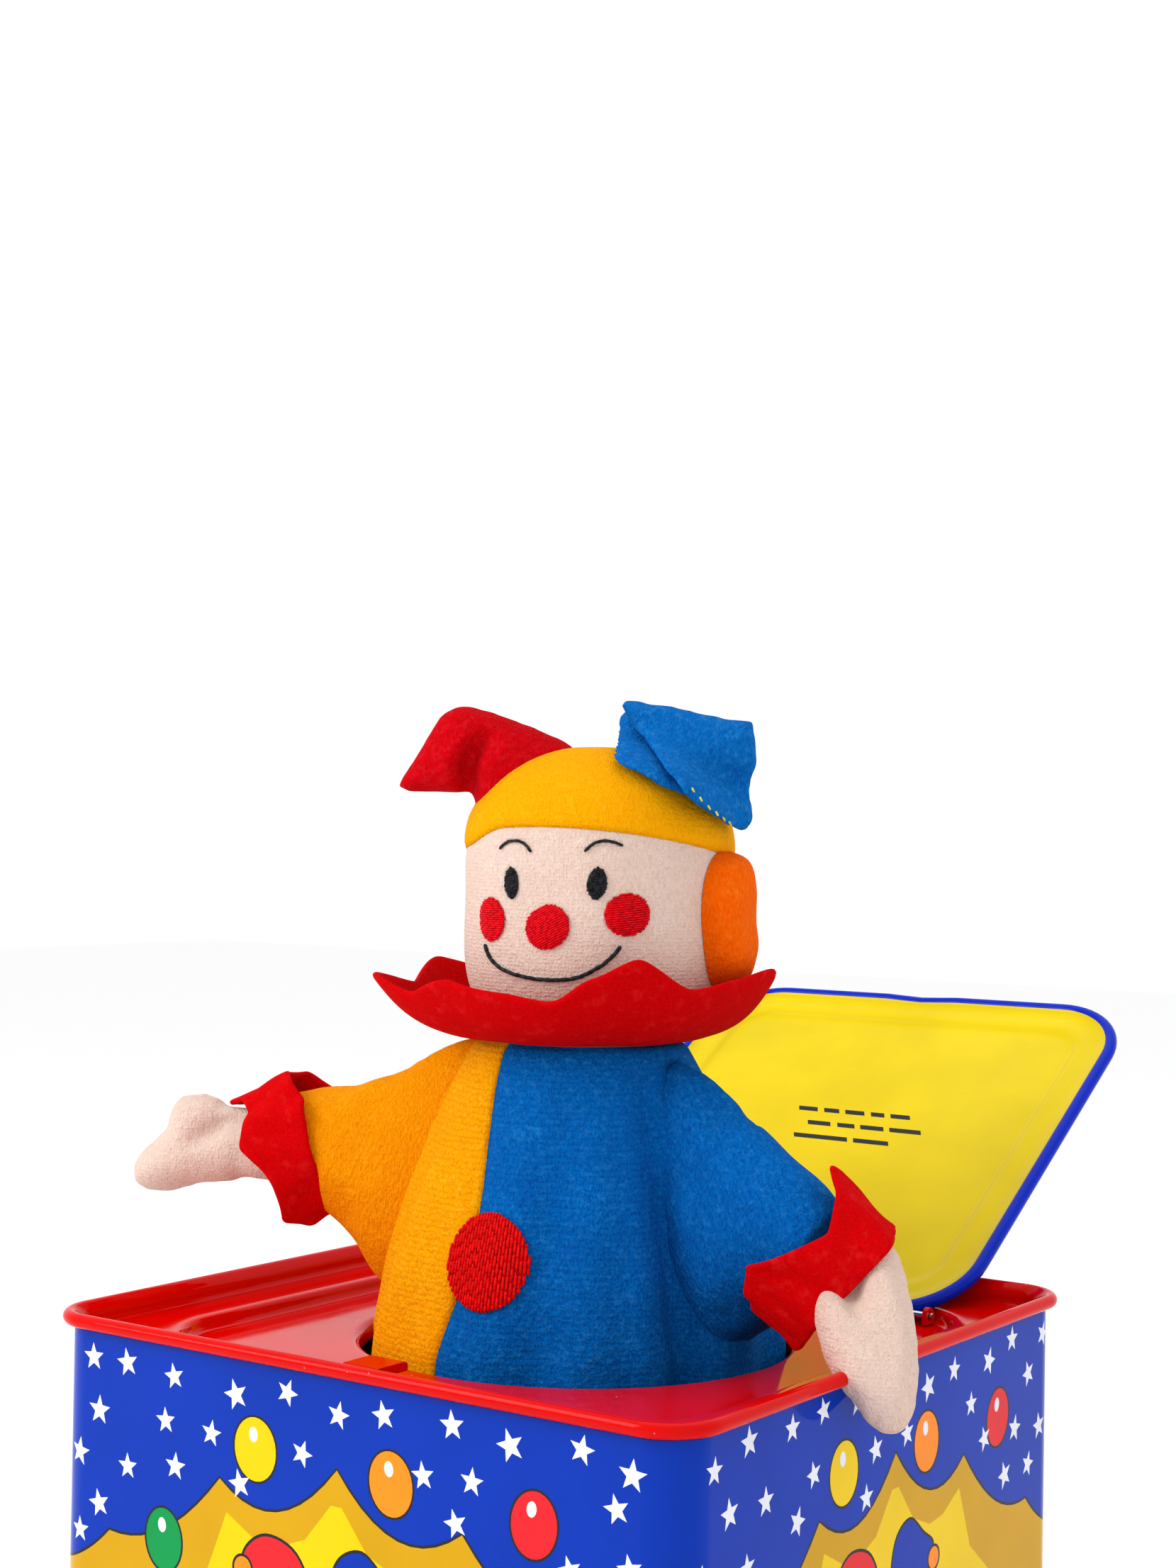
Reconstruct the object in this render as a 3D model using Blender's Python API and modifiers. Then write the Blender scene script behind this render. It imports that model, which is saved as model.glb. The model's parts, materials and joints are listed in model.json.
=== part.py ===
"""Jack in the box: a square tin box with a hinged lid, a sprung cloth doll, and a cranked music movement.

Metres, +Z up. The origin is the centre of the box's underside, the front is -Y and the crank is on +X.
The lid stands open and the doll is up. Heights given as "over the rim" count from RIM_Z.
"""

import math
from math import cos, pi, radians, sin, sqrt, tau

import bmesh
import bpy
from mathutils import Matrix, Vector

MM = 0.001

# Box and tray
BODY_HALF = 70.4 * MM
TIN = 0.6 * MM
RIM_Z = 142.0 * MM
RIM_HALF = 71.3 * MM
RIM_BEAD_R = 1.35 * MM
CORNER_AT = 62.0 * MM
TRAY_WALL_HALF = 68.95 * MM
SHELF_DROP = 3.2 * MM
RECESS_HALF = 58.7 * MM
RECESS_CORNER_R = 17.5 * MM
FLOOR_DROP = 6.0 * MM
WELL_R = 41.9 * MM
SHEET = 0.7 * MM

# Lid, whose rolled back edge turns on the hinge wire
LID_HALF = 55.7 * MM
LID_CORNER_R = 18.5 * MM
LID_BEAD_R = 1.4 * MM
LID_EMBOSS_HALF = 46.5 * MM
LID_EMBOSS_RISE = 1.2 * MM
HINGE_Y = 53.0 * MM
HINGE_Z = RIM_Z - 4.0 * MM
HINGE_WIRE_R = 0.7 * MM
HINGE_EAR_X = 49.6 * MM
LID_OPEN = radians(149.0)

# Doll
HEAD_AT = Vector((2.5 * MM, 1.7 * MM, RIM_Z + 81.5 * MM))
HEAD_R = 26.0 * MM
HEAD_TALL = 26.4 * MM
HEAD_TURN = radians(14.0)
CLOTH_GAP = 0.4 * MM
NECK_R = 20.6 * MM
COLLAR_Z = RIM_Z + 53.6 * MM
ROBE_WALL = 1.2 * MM
ARM_TURN = radians(19.0)

# Spring and its base
SPRING_R = 16.0 * MM
SPRING_WIRE_R = 0.8 * MM
SPRING_TURNS = 9
SPRING_LOW = 8.0 * MM
SPRING_HIGH = RIM_Z + 50.6 * MM

# Crank and music movement
CRANK_Z = 66.0 * MM
CRANK_ROD_R = 1.8 * MM
CRANK_ARM = 34.0 * MM
CRANK_ARM_X = 78.0 * MM
CRANK_END_X = 103.0 * MM
GEAR_MODULE = 1.0 * MM
PINION_TEETH = 12
DRUM_TEETH = 36
BACKLASH = 0.35 * MM
GEAR_DISTANCE = GEAR_MODULE * (PINION_TEETH + DRUM_TEETH) / 2 + BACKLASH
DRUM_Z = CRANK_Z - GEAR_DISTANCE
GEAR_X = 63.5 * MM
PLATE_OUT_X = 68.8 * MM
PLATE_IN_X = 45.3 * MM
RUN_GAP = 0.3 * MM

# Latch
LATCH_Y = -66.1 * MM
LATCH_Z = 122.0 * MM
LATCH_HALF_WIDE = 4.0 * MM


def start():
    for obj in list(bpy.data.objects):
        bpy.data.objects.remove(obj)
    made = {}
    for name in ("jack_in_the_box", "cutters"):
        made[name] = bpy.data.collections.new(name)
        bpy.context.scene.collection.children.link(made[name])
    made["cutters"].hide_render = True
    return made


COLLECTIONS = start()


def material(name, colour, roughness=0.5, metallic=0.0):
    made = bpy.data.materials.new(name)
    made.use_nodes = True
    shader = made.node_tree.nodes["Principled BSDF"]
    shader.inputs["Base Color"].default_value = (*colour, 1.0)
    shader.inputs["Roughness"].default_value = roughness
    shader.inputs["Metallic"].default_value = metallic
    made.diffuse_color = (*colour, 1.0)
    return made


RED_TIN = material("red_tin", (0.62, 0.01, 0.01), 0.15)
BLUE_TIN = material("blue_tin", (0.01, 0.06, 0.45), 0.18)
STEEL = material("steel", (0.6, 0.6, 0.62), 0.3, 1.0)
BRASS = material("brass", (0.75, 0.55, 0.22), 0.3, 1.0)
NYLON = material("white_nylon", (0.85, 0.85, 0.8), 0.45)
BOARD = material("grey_board", (0.35, 0.32, 0.27), 0.9)
RED_PLASTIC = material("red_plastic", (0.65, 0.01, 0.01), 0.25)
YELLOW_CLOTH = material("yellow_cloth", (0.9, 0.38, 0.01), 0.95)
BLUE_CLOTH = material("blue_cloth", (0.0, 0.14, 0.55), 0.95)
RED_FELT = material("red_felt", (0.65, 0.01, 0.01), 0.95)
FLESH_KNIT = material("flesh_knit", (0.85, 0.6, 0.48), 0.95)
ORANGE_HAIR = material("orange_hair", (0.95, 0.14, 0.0), 0.95)
BLACK_THREAD = material("black_thread", (0.03, 0.03, 0.035), 0.7)
RED_THREAD = material("red_thread", (0.6, 0.01, 0.02), 0.6)


# Making objects


def empty(name, at):
    made = bpy.data.objects.new(name, None)
    made.empty_display_size = 10 * MM
    made.location = at
    COLLECTIONS["jack_in_the_box"].objects.link(made)
    return made


def place(obj, at=(0, 0, 0), turn=(0, 0, 0), parent=None):
    """Puts the object at a world place, under an empty that stands unrotated on its joint's axis."""
    obj.rotation_euler = turn
    obj.location = Vector(at)
    if parent:
        obj.parent = parent
        obj.location -= parent.location
    return obj


def keep(name, data, mat, collection="jack_in_the_box"):
    obj = bpy.data.objects.new(name, data)
    COLLECTIONS[collection].objects.link(obj)
    if mat:
        data.materials.append(mat)
    if collection == "cutters":
        obj.hide_render = True
        obj.display_type = "WIRE"
    return obj


def mesh_object(name, bm, mat, smooth=True, collection="jack_in_the_box"):
    bmesh.ops.recalc_face_normals(bm, faces=bm.faces)
    mesh = bpy.data.meshes.new(name)
    bm.to_mesh(mesh)
    bm.free()
    if smooth:
        mesh.shade_smooth()
        mesh.set_sharp_from_angle(angle=radians(35))
    return keep(name, mesh, mat, collection)


def lofted(name, rings, mat, loop=False, **options):
    """Skins rings of equal point count: a closed loop of rings, or a stack whose end rings are capped."""
    bm = bmesh.new()
    rows = [[bm.verts.new(point) for point in ring] for ring in rings]
    pairs = list(zip(rows, rows[1:]))
    if loop:
        pairs.append((rows[-1], rows[0]))
    else:
        bm.faces.new(rows[0])
        bm.faces.new(rows[-1])
    for low, high in pairs:
        for i in range(len(low)):
            j = (i + 1) % len(low)
            bm.faces.new((low[i], low[j], high[j], high[i]))
    return mesh_object(name, bm, mat, **options)


def square_ring(half, corner_at, z, arc_steps=5, side_steps=2, centre_y=0.0):
    """A rounded square; corner_at is how far out the corner arcs' centres lie."""
    radius = half - corner_at
    points = []
    for quarter in range(4):
        turn = Matrix.Rotation(quarter * pi / 2, 3, "Z")
        arc = [
            Vector((corner_at + radius * cos(a), corner_at + radius * sin(a), z))
            for a in (pi / 2 * i / arc_steps for i in range(arc_steps + 1))
        ]
        side = [
            Vector((corner_at * (1 - 2 * i / side_steps), half, z))
            for i in range(1, side_steps)
        ]
        points += [turn @ point for point in arc + side]
    return [point + Vector((0, centre_y, 0)) for point in points]


def round_ring(radius, z, like):
    """A circle whose points lie in the same directions as those of the ring it joins."""
    return [Vector((*(point.xy.normalized() * radius), z)) for point in like]


def turned(name, profile, mat, steps=24, smooth=True, collection="jack_in_the_box"):
    """A closed (radius, z) outline turned about Z. A profile that ends on the axis closes itself there."""
    bm = bmesh.new()
    points = [bm.verts.new((r, 0, z)) for r, z in profile]
    on_axis = profile[0][0] == 0 and profile[-1][0] == 0
    for a, b in zip(points, points[1:] + ([] if on_axis else points[:1])):
        bm.edges.new((a, b))
    obj = mesh_object(name, bm, mat, smooth, collection)
    screw = obj.modifiers.new("turn", "SCREW")
    screw.steps = screw.render_steps = steps
    screw.use_merge_vertices = True
    screw.merge_threshold = 1e-5
    screw.use_smooth_shade = smooth
    return obj


def ball(name, radii, mat, steps=20, rings=12, collection="jack_in_the_box"):
    bm = bmesh.new()
    bmesh.ops.create_uvsphere(
        bm, u_segments=steps, v_segments=rings, radius=1, matrix=Matrix.Diagonal((*radii, 1))
    )
    return mesh_object(name, bm, mat, collection=collection)


def rod(name, radius, length, mat, steps=14, collection="jack_in_the_box"):
    """A cylinder centred on its origin, along Z."""
    bm = bmesh.new()
    bmesh.ops.create_cone(
        bm, cap_ends=True, segments=steps, radius1=radius, radius2=radius, depth=length
    )
    return mesh_object(name, bm, mat, collection=collection)


def block(name, size, mat, collection="jack_in_the_box"):
    bm = bmesh.new()
    bmesh.ops.create_cube(bm, size=1, matrix=Matrix.Diagonal((*size, 1)))
    return mesh_object(name, bm, mat, smooth=False, collection=collection)


def wire(name, points, radius, mat, widths=None, cyclic=False, sides=2):
    """A round wire or soft limb along the points, as thick as widths says at each of them."""
    curve = bpy.data.curves.new(name, "CURVE")
    curve.dimensions = "3D"
    curve.bevel_depth = radius
    curve.bevel_resolution = sides
    curve.use_fill_caps = True
    spline = curve.splines.new("POLY")
    spline.points.add(len(points) - 1)
    spline.use_cyclic_u = cyclic
    spline.use_smooth = True
    for i, point in enumerate(points):
        spline.points[i].co = (*point, 1)
        spline.points[i].radius = widths[i] / radius if widths else 1
    return keep(name, curve, mat)


def plate(name, outlines, thickness, mat):
    """A flat piece in XY, from an outline and the outlines of its holes."""
    curve = bpy.data.curves.new(name, "CURVE")
    curve.dimensions = "2D"
    curve.fill_mode = "BOTH"
    curve.extrude = thickness / 2
    for outline in outlines:
        spline = curve.splines.new("POLY")
        spline.points.add(len(outline) - 1)
        spline.use_cyclic_u = True
        for i, (x, y) in enumerate(outline):
            spline.points[i].co = (x, y, 0, 1)
    return keep(name, curve, mat)


def as_mesh(obj):
    """The curve object made a closed mesh object of the same name and place."""
    bpy.context.view_layer.update()
    graph = bpy.context.evaluated_depsgraph_get()
    mesh = bpy.data.meshes.new_from_object(obj.evaluated_get(graph))
    name, matrix = obj.name, obj.matrix_world.copy()
    bm = bmesh.new()
    bm.from_mesh(mesh)
    bmesh.ops.remove_doubles(bm, verts=bm.verts, dist=1e-6)
    bmesh.ops.recalc_face_normals(bm, faces=bm.faces)
    bm.to_mesh(mesh)
    bm.free()
    bpy.data.objects.remove(obj)
    made = keep(name, mesh, None)
    made.matrix_world = matrix
    return made


def joined(obj, other, operation):
    """Cuts the other object from this one, or keeps what they share, or adds it."""
    step = obj.modifiers.new(operation.lower(), "BOOLEAN")
    step.operation = operation
    step.object = other
    return obj


def cutter_rod(name, radius, length, at, turn=(0, 0, 0), parent=None):
    return place(rod(name, radius, length, None, collection="cutters"), at, turn, parent)


ALONG_X = (0, pi / 2, 0)


def circle(radius, count, centre=(0, 0)):
    return [
        (centre[0] + radius * cos(tau * i / count), centre[1] + radius * sin(tau * i / count))
        for i in range(count)
    ]


# Box, tray and lid

CRANK_HOLE_R = 4.2 * MM
RIVET_R = 1.2 * MM
RIVET_PLACES = [(y, z) for y in (-15 * MM, 15 * MM) for z in (28 * MM, 80 * MM)]


def wall_holes():
    holes = [cutter_rod("crank_hole", CRANK_HOLE_R, 6 * MM, (70 * MM, 0, CRANK_Z), ALONG_X)]
    for i, (y, z) in enumerate(RIVET_PLACES):
        at = (70 * MM, y, z)
        holes.append(cutter_rod(f"rivet_hole_{i + 1}", RIVET_R + RUN_GAP, 6 * MM, at, ALONG_X))
    return holes


def make_box():
    low, high = 3.4 * MM, RIM_Z - 1.75 * MM
    inner = BODY_HALF - TIN
    rings = [
        square_ring(half, CORNER_AT, z)
        for half, z in ((BODY_HALF, low), (BODY_HALF, high), (inner, high), (inner, low))
    ]
    wall = lofted("box_wall", rings, BLUE_TIN, loop=True)
    for hole in wall_holes():
        joined(wall, hole, "DIFFERENCE")

    hem = 1.3 * MM
    flange = inner - 0.5 * MM
    profile = [
        (66.0 * MM, 0),
        (BODY_HALF - 0.2 * MM, 0),
        (BODY_HALF + 0.9 * MM, 0.6 * MM),
        (BODY_HALF + 1.1 * MM, 1.6 * MM),
        (BODY_HALF + 0.6 * MM, 2.7 * MM),
        (BODY_HALF - 0.4 * MM, 3.0 * MM),
        (flange, 3.3 * MM),
        (flange, 9.0 * MM),
        (flange - TIN, 9.0 * MM),
        (flange - TIN, 1.4 * MM),
        (66.0 * MM, hem - 0.5 * MM),
    ]
    lofted("bottom_pan", [square_ring(h, CORNER_AT, z) for h, z in profile], RED_TIN)


def bead_arc(first, last, count, centre, radius):
    """Points of a rolled edge's section, from one angle to another in degrees."""
    angles = [radians(first + (last - first) * i / (count - 1)) for i in range(count)]
    return [(centre[0] + radius * cos(a), centre[1] + radius * sin(a)) for a in angles]


def make_tray():
    """One stamped sheet: rolled rim, wall, shelf, recessed floor for the lid, and the round well's lip."""
    z = RIM_Z
    steps = {"arc_steps": 6, "side_steps": 8}
    shelf, floor = z - SHELF_DROP, z - FLOOR_DROP
    recess_at = RECESS_HALF - RECESS_CORNER_R

    def square(half, height, corner_at=CORNER_AT):
        return square_ring(half, corner_at, height, **steps)

    rim = bead_arc(-75, 150, 7, (RIM_HALF, z), RIM_BEAD_R)
    top = [square(half, height) for half, height in rim]
    top += [
        square(TRAY_WALL_HALF + 0.25 * MM, z - 0.1 * MM),
        square(TRAY_WALL_HALF, z - 1.0 * MM),
        square(TRAY_WALL_HALF, shelf + 0.8 * MM),
        square(TRAY_WALL_HALF - 0.9 * MM, shelf),
        square(RECESS_HALF + 1.2 * MM, shelf, recess_at),
        square(RECESS_HALF + 0.3 * MM, shelf - 0.3 * MM, recess_at),
        square(RECESS_HALF - 0.2 * MM, floor + 0.5 * MM, recess_at),
        square(RECESS_HALF - 0.9 * MM, floor, recess_at),
    ]
    like = top[-1]
    top += [
        round_ring(WELL_R + 1.8 * MM, floor, like),
        round_ring(WELL_R + 0.4 * MM, floor - 0.3 * MM, like),
        round_ring(WELL_R, floor - 1.1 * MM, like),
        round_ring(WELL_R, floor - 3.2 * MM, like),
    ]
    under = [
        round_ring(WELL_R + SHEET, floor - 3.2 * MM, like),
        round_ring(WELL_R + SHEET, floor - 1.4 * MM, like),
        round_ring(WELL_R + 2.1 * MM, floor - SHEET, like),
        square(RECESS_HALF - 0.4 * MM, floor - SHEET, recess_at),
        square(RECESS_HALF + 0.6 * MM, floor, recess_at),
        square(RECESS_HALF + 0.9 * MM, shelf - SHEET, recess_at),
        square(TRAY_WALL_HALF + 0.2 * MM, shelf - SHEET),
        square(TRAY_WALL_HALF + SHEET - 0.1 * MM, shelf),
        square(TRAY_WALL_HALF + SHEET - 0.1 * MM, z - 1.5 * MM),
        square(RIM_HALF - 0.6 * MM, z - 0.75 * MM),
    ]
    tray = lofted("top_tray", top + under, RED_TIN, loop=True)
    slot = block("latch_slot", (9.4 * MM, 5.0 * MM, 6 * MM), None, collection="cutters")
    place(slot, (0, -64.3 * MM, shelf))
    joined(tray, slot, "DIFFERENCE")


def make_hinge():
    """The wire that the lid's rolled edge turns on, and the two ears that hold the wire's ends."""
    wire_at = (0, HINGE_Y, HINGE_Z)
    length = 2 * (HINGE_EAR_X + 1.2 * MM)
    place(rod("hinge_wire", HINGE_WIRE_R, length, STEEL, 10), wire_at, ALONG_X)
    foot = RIM_Z - FLOOR_DROP + 0.3 * MM - HINGE_Z
    for side, x in (("left", -HINGE_EAR_X), ("right", HINGE_EAR_X)):
        arch = circle(1.7 * MM, 16)[:9]
        outline = [*arch, (-1.7 * MM, foot), (1.7 * MM, foot)]
        ear = plate(f"hinge_ear_{side}", [outline, circle(HINGE_WIRE_R + RUN_GAP, 10)], MM, RED_TIN)
        place(ear, (x, HINGE_Y, HINGE_Z), (pi / 2, 0, pi / 2))


def make_lid(axis):
    """Built closed, about the hinge line, then opened."""
    bead_half = LID_HALF - LID_BEAD_R
    corner_at = LID_HALF - LID_CORNER_R
    half_sheet = SHEET / 2
    profile = [
        (LID_EMBOSS_HALF - 1.5 * MM, half_sheet + LID_EMBOSS_RISE),
        (LID_EMBOSS_HALF, half_sheet),
        (bead_half - 1.35 * MM, half_sheet),
        *bead_arc(135, -135, 7, (bead_half, 0), LID_BEAD_R),
        (bead_half - 1.35 * MM, -half_sheet),
        (LID_EMBOSS_HALF + 0.2 * MM, -half_sheet),
        (LID_EMBOSS_HALF - 1.3 * MM, LID_EMBOSS_RISE - half_sheet),
    ]
    rings = [
        square_ring(half, corner_at, z, arc_steps=6, side_steps=2, centre_y=-bead_half)
        for half, z in profile
    ]
    lid = place(lofted("lid", rings, BLUE_TIN), axis.location, (-LID_OPEN, 0, 0), axis)
    bore = cutter_rod(
        "hinge_bore", HINGE_WIRE_R + 0.25 * MM, 2.1 * HINGE_EAR_X, axis.location, ALONG_X
    )
    joined(lid, bore, "DIFFERENCE")


# Latch


def make_latch(axis):
    """A sheet lever on a pin behind the front wall; its nib hooks over the lid's front edge."""
    nib_top = RIM_Z - 0.4 * MM - LATCH_Z
    hook_under = RIM_Z - 2.1 * MM - LATCH_Z
    back, front = -0.5 * MM, 0.5 * MM
    side_view = [
        (back, -14 * MM),
        (front, -14 * MM),
        (front, 10.5 * MM),
        (2.3 * MM, 13.5 * MM),
        (2.3 * MM, hook_under - 0.6 * MM),
        (3.2 * MM, hook_under),
        (9.5 * MM, hook_under),
        (9.5 * MM, nib_top - 0.4 * MM),
        (8.8 * MM, nib_top),
        (1.6 * MM, nib_top),
        (1.2 * MM, nib_top - 0.5 * MM),
        (1.2 * MM, 14.0 * MM),
        (back, 11.0 * MM),
    ]
    lever = as_mesh(plate("latch_lever", [side_view], 2 * LATCH_HALF_WIDE, RED_TIN))
    place(lever, axis.location, (pi / 2, 0, pi / 2), axis)
    barrel = rod("latch_barrel", 2.0 * MM, 2 * LATCH_HALF_WIDE, None, 16, "cutters")
    joined(lever, place(barrel, axis.location, ALONG_X, axis), "UNION")
    bore = cutter_rod("latch_bore", 1.3 * MM, 12 * MM, axis.location, ALONG_X, axis)
    joined(lever, bore, "DIFFERENCE")

    place(rod("latch_pin", 1.0 * MM, 19 * MM, STEEL, 12), axis.location, ALONG_X)
    outline = [(-9 * MM, -3.3 * MM), (9 * MM, -3.3 * MM), (9 * MM, 2.6 * MM), (8 * MM, 2.6 * MM)]
    outline += [(8 * MM, -2.6 * MM), (-8 * MM, -2.6 * MM), (-8 * MM, 2.6 * MM), (-9 * MM, 2.6 * MM)]
    bracket = as_mesh(plate("latch_bracket", [outline], 10 * MM, STEEL))
    place(bracket, axis.location)
    joined(
        bracket,
        cutter_rod("latch_bracket_bore", 1.3 * MM, 24 * MM, axis.location, ALONG_X),
        "DIFFERENCE",
    )

    turns, per_turn = 4, 8
    coil = []
    for i in range(turns * per_turn + 1):
        a = tau * i / per_turn
        x = 4.8 * MM + 2.4 * MM * i / (turns * per_turn)
        coil.append(Vector((x, 1.75 * MM * cos(a), 1.75 * MM * sin(a))))
    legs = [coil[0] + Vector((0, 0, -8 * MM))], [coil[-1] + Vector((0, 0, -8 * MM))]
    spring = wire("latch_spring", legs[0] + coil + legs[1], 0.25 * MM, STEEL, sides=0)
    place(spring, axis.location)

    tail_y, tail_z, tail_x = -64.3 * MM, 56.5 * MM, 47.4 * MM
    route = [
        Vector((0, tail_y, 118 * MM)),
        Vector((0, tail_y, 66 * MM)),
        Vector((4 * MM, tail_y, 60 * MM)),
        Vector((12 * MM, tail_y, tail_z)),
        Vector((tail_x - 10 * MM, tail_y, tail_z)),
        Vector((tail_x - 3 * MM, tail_y + 3 * MM, tail_z)),
        Vector((tail_x, tail_y + 10 * MM, tail_z)),
        Vector((tail_x, -2 * MM, tail_z)),
    ]
    route = [point - axis.location for point in route]
    place(wire("release_wire", route, 0.7 * MM, STEEL, sides=1), axis.location, parent=axis)


# Crank, gears and music movement


def gear(name, teeth, width, bore, mat):
    """A spur gear with straight-sided teeth, along Z."""
    pitch_r = GEAR_MODULE * teeth / 2
    root_r, tip_r = pitch_r - 1.2 * GEAR_MODULE, pitch_r + 0.9 * GEAR_MODULE
    step = tau / teeth
    corners = ((root_r, -0.36), (tip_r, -0.12), (tip_r, 0.12), (root_r, 0.36))
    outline = [
        (r * cos(step * (i + share)), r * sin(step * (i + share)))
        for i in range(teeth)
        for r, share in corners
    ]
    return plate(name, [outline, circle(bore, 12)], width, mat)


def make_crank(axis, knob_axis):
    low = CRANK_Z - CRANK_ARM
    bend = 2.6 * MM
    route = [Vector((42.5 * MM, 0, CRANK_Z))]
    for centre, first in (
        ((CRANK_ARM_X - bend, CRANK_Z - bend), pi / 2),
        ((CRANK_ARM_X + bend, low + bend), pi),
    ):
        turning = -1 if first == pi / 2 else 1
        for i in range(4):
            a = first + turning * pi / 2 * i / 3
            route.append(Vector((centre[0] + bend * cos(a), 0, centre[1] + bend * sin(a))))
    route.append(Vector((CRANK_END_X, 0, low)))
    route = [point - axis.location for point in route]
    place(wire("crank_rod", route, CRANK_ROD_R, STEEL), axis.location, parent=axis)

    bore = CRANK_ROD_R + 0.25 * MM
    pinion = gear("crank_pinion", PINION_TEETH, 4 * MM, bore, BRASS)
    # the pinion's space, not its tooth, faces down to the drum gear's tooth
    turn = pi / 2 + pi / PINION_TEETH
    place(pinion, (GEAR_X, 0, CRANK_Z), ALONG_X, axis)
    pinion.rotation_euler = (0, pi / 2, 0)
    pinion.rotation_euler.rotate_axis("Z", turn)

    collar = [(bore, -1.5 * MM), (3.4 * MM, -1.5 * MM), (3.4 * MM, 1.5 * MM), (bore, 1.5 * MM)]
    place(turned("crank_collar", collar[::-1], STEEL, 14), (73.7 * MM, 0, CRANK_Z), ALONG_X, axis)

    knob = [
        (bore, 9.4),
        (6.4, 9.4),
        (7.8, 7.0),
        (8.0, 3.0),
        (6.6, -2.5),
        (5.2, -6.5),
        (5.4, -9.0),
        (4.6, -9.8),
        (bore, -9.8),
    ]
    knob = [(bore if r == bore else r * MM, z * MM) for r, z in knob]
    place(turned("crank_knob", knob, RED_PLASTIC, 18), knob_axis.location, ALONG_X, knob_axis)
    cap = [(bore, 0.6 * MM), (3.6 * MM, 0.6 * MM), (3.6 * MM, -0.6 * MM), (bore, -0.6 * MM)]
    place(turned("knob_retainer", cap, STEEL, 14), (101.5 * MM, 0, low), ALONG_X, axis)


def make_bushing():
    bore = CRANK_ROD_R + 0.3 * MM
    sleeve, flange = CRANK_HOLE_R - 0.3 * MM, 7.0 * MM
    out, face = BODY_HALF + 0.3 * MM, BODY_HALF + 1.5 * MM
    inside = PLATE_OUT_X - 0.9 * MM
    profile = [(bore, face), (flange - 0.6 * MM, face), (flange, out + 0.3 * MM), (flange, out)]
    profile += [(sleeve, out), (sleeve, inside), (bore, inside)]
    place(turned("crank_bushing", profile, BRASS, 20), (0, 0, CRANK_Z), ALONG_X)
    for i, (y, z) in enumerate(RIVET_PLACES):
        head, tail = BODY_HALF + 0.3 * MM, PLATE_OUT_X - 0.8 * MM
        profile = [
            (0, head + 1.0 * MM),
            (1.5 * MM, head + 0.8 * MM),
            (2.5 * MM, head),
            (RIVET_R, head),
            (RIVET_R, tail),
            (2.2 * MM, tail),
            (1.4 * MM, tail - 0.8 * MM),
            (0, tail - 0.8 * MM),
        ]
        place(turned(f"frame_rivet_{i + 1}", profile, STEEL, 12), (0, y, z), ALONG_X)


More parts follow.
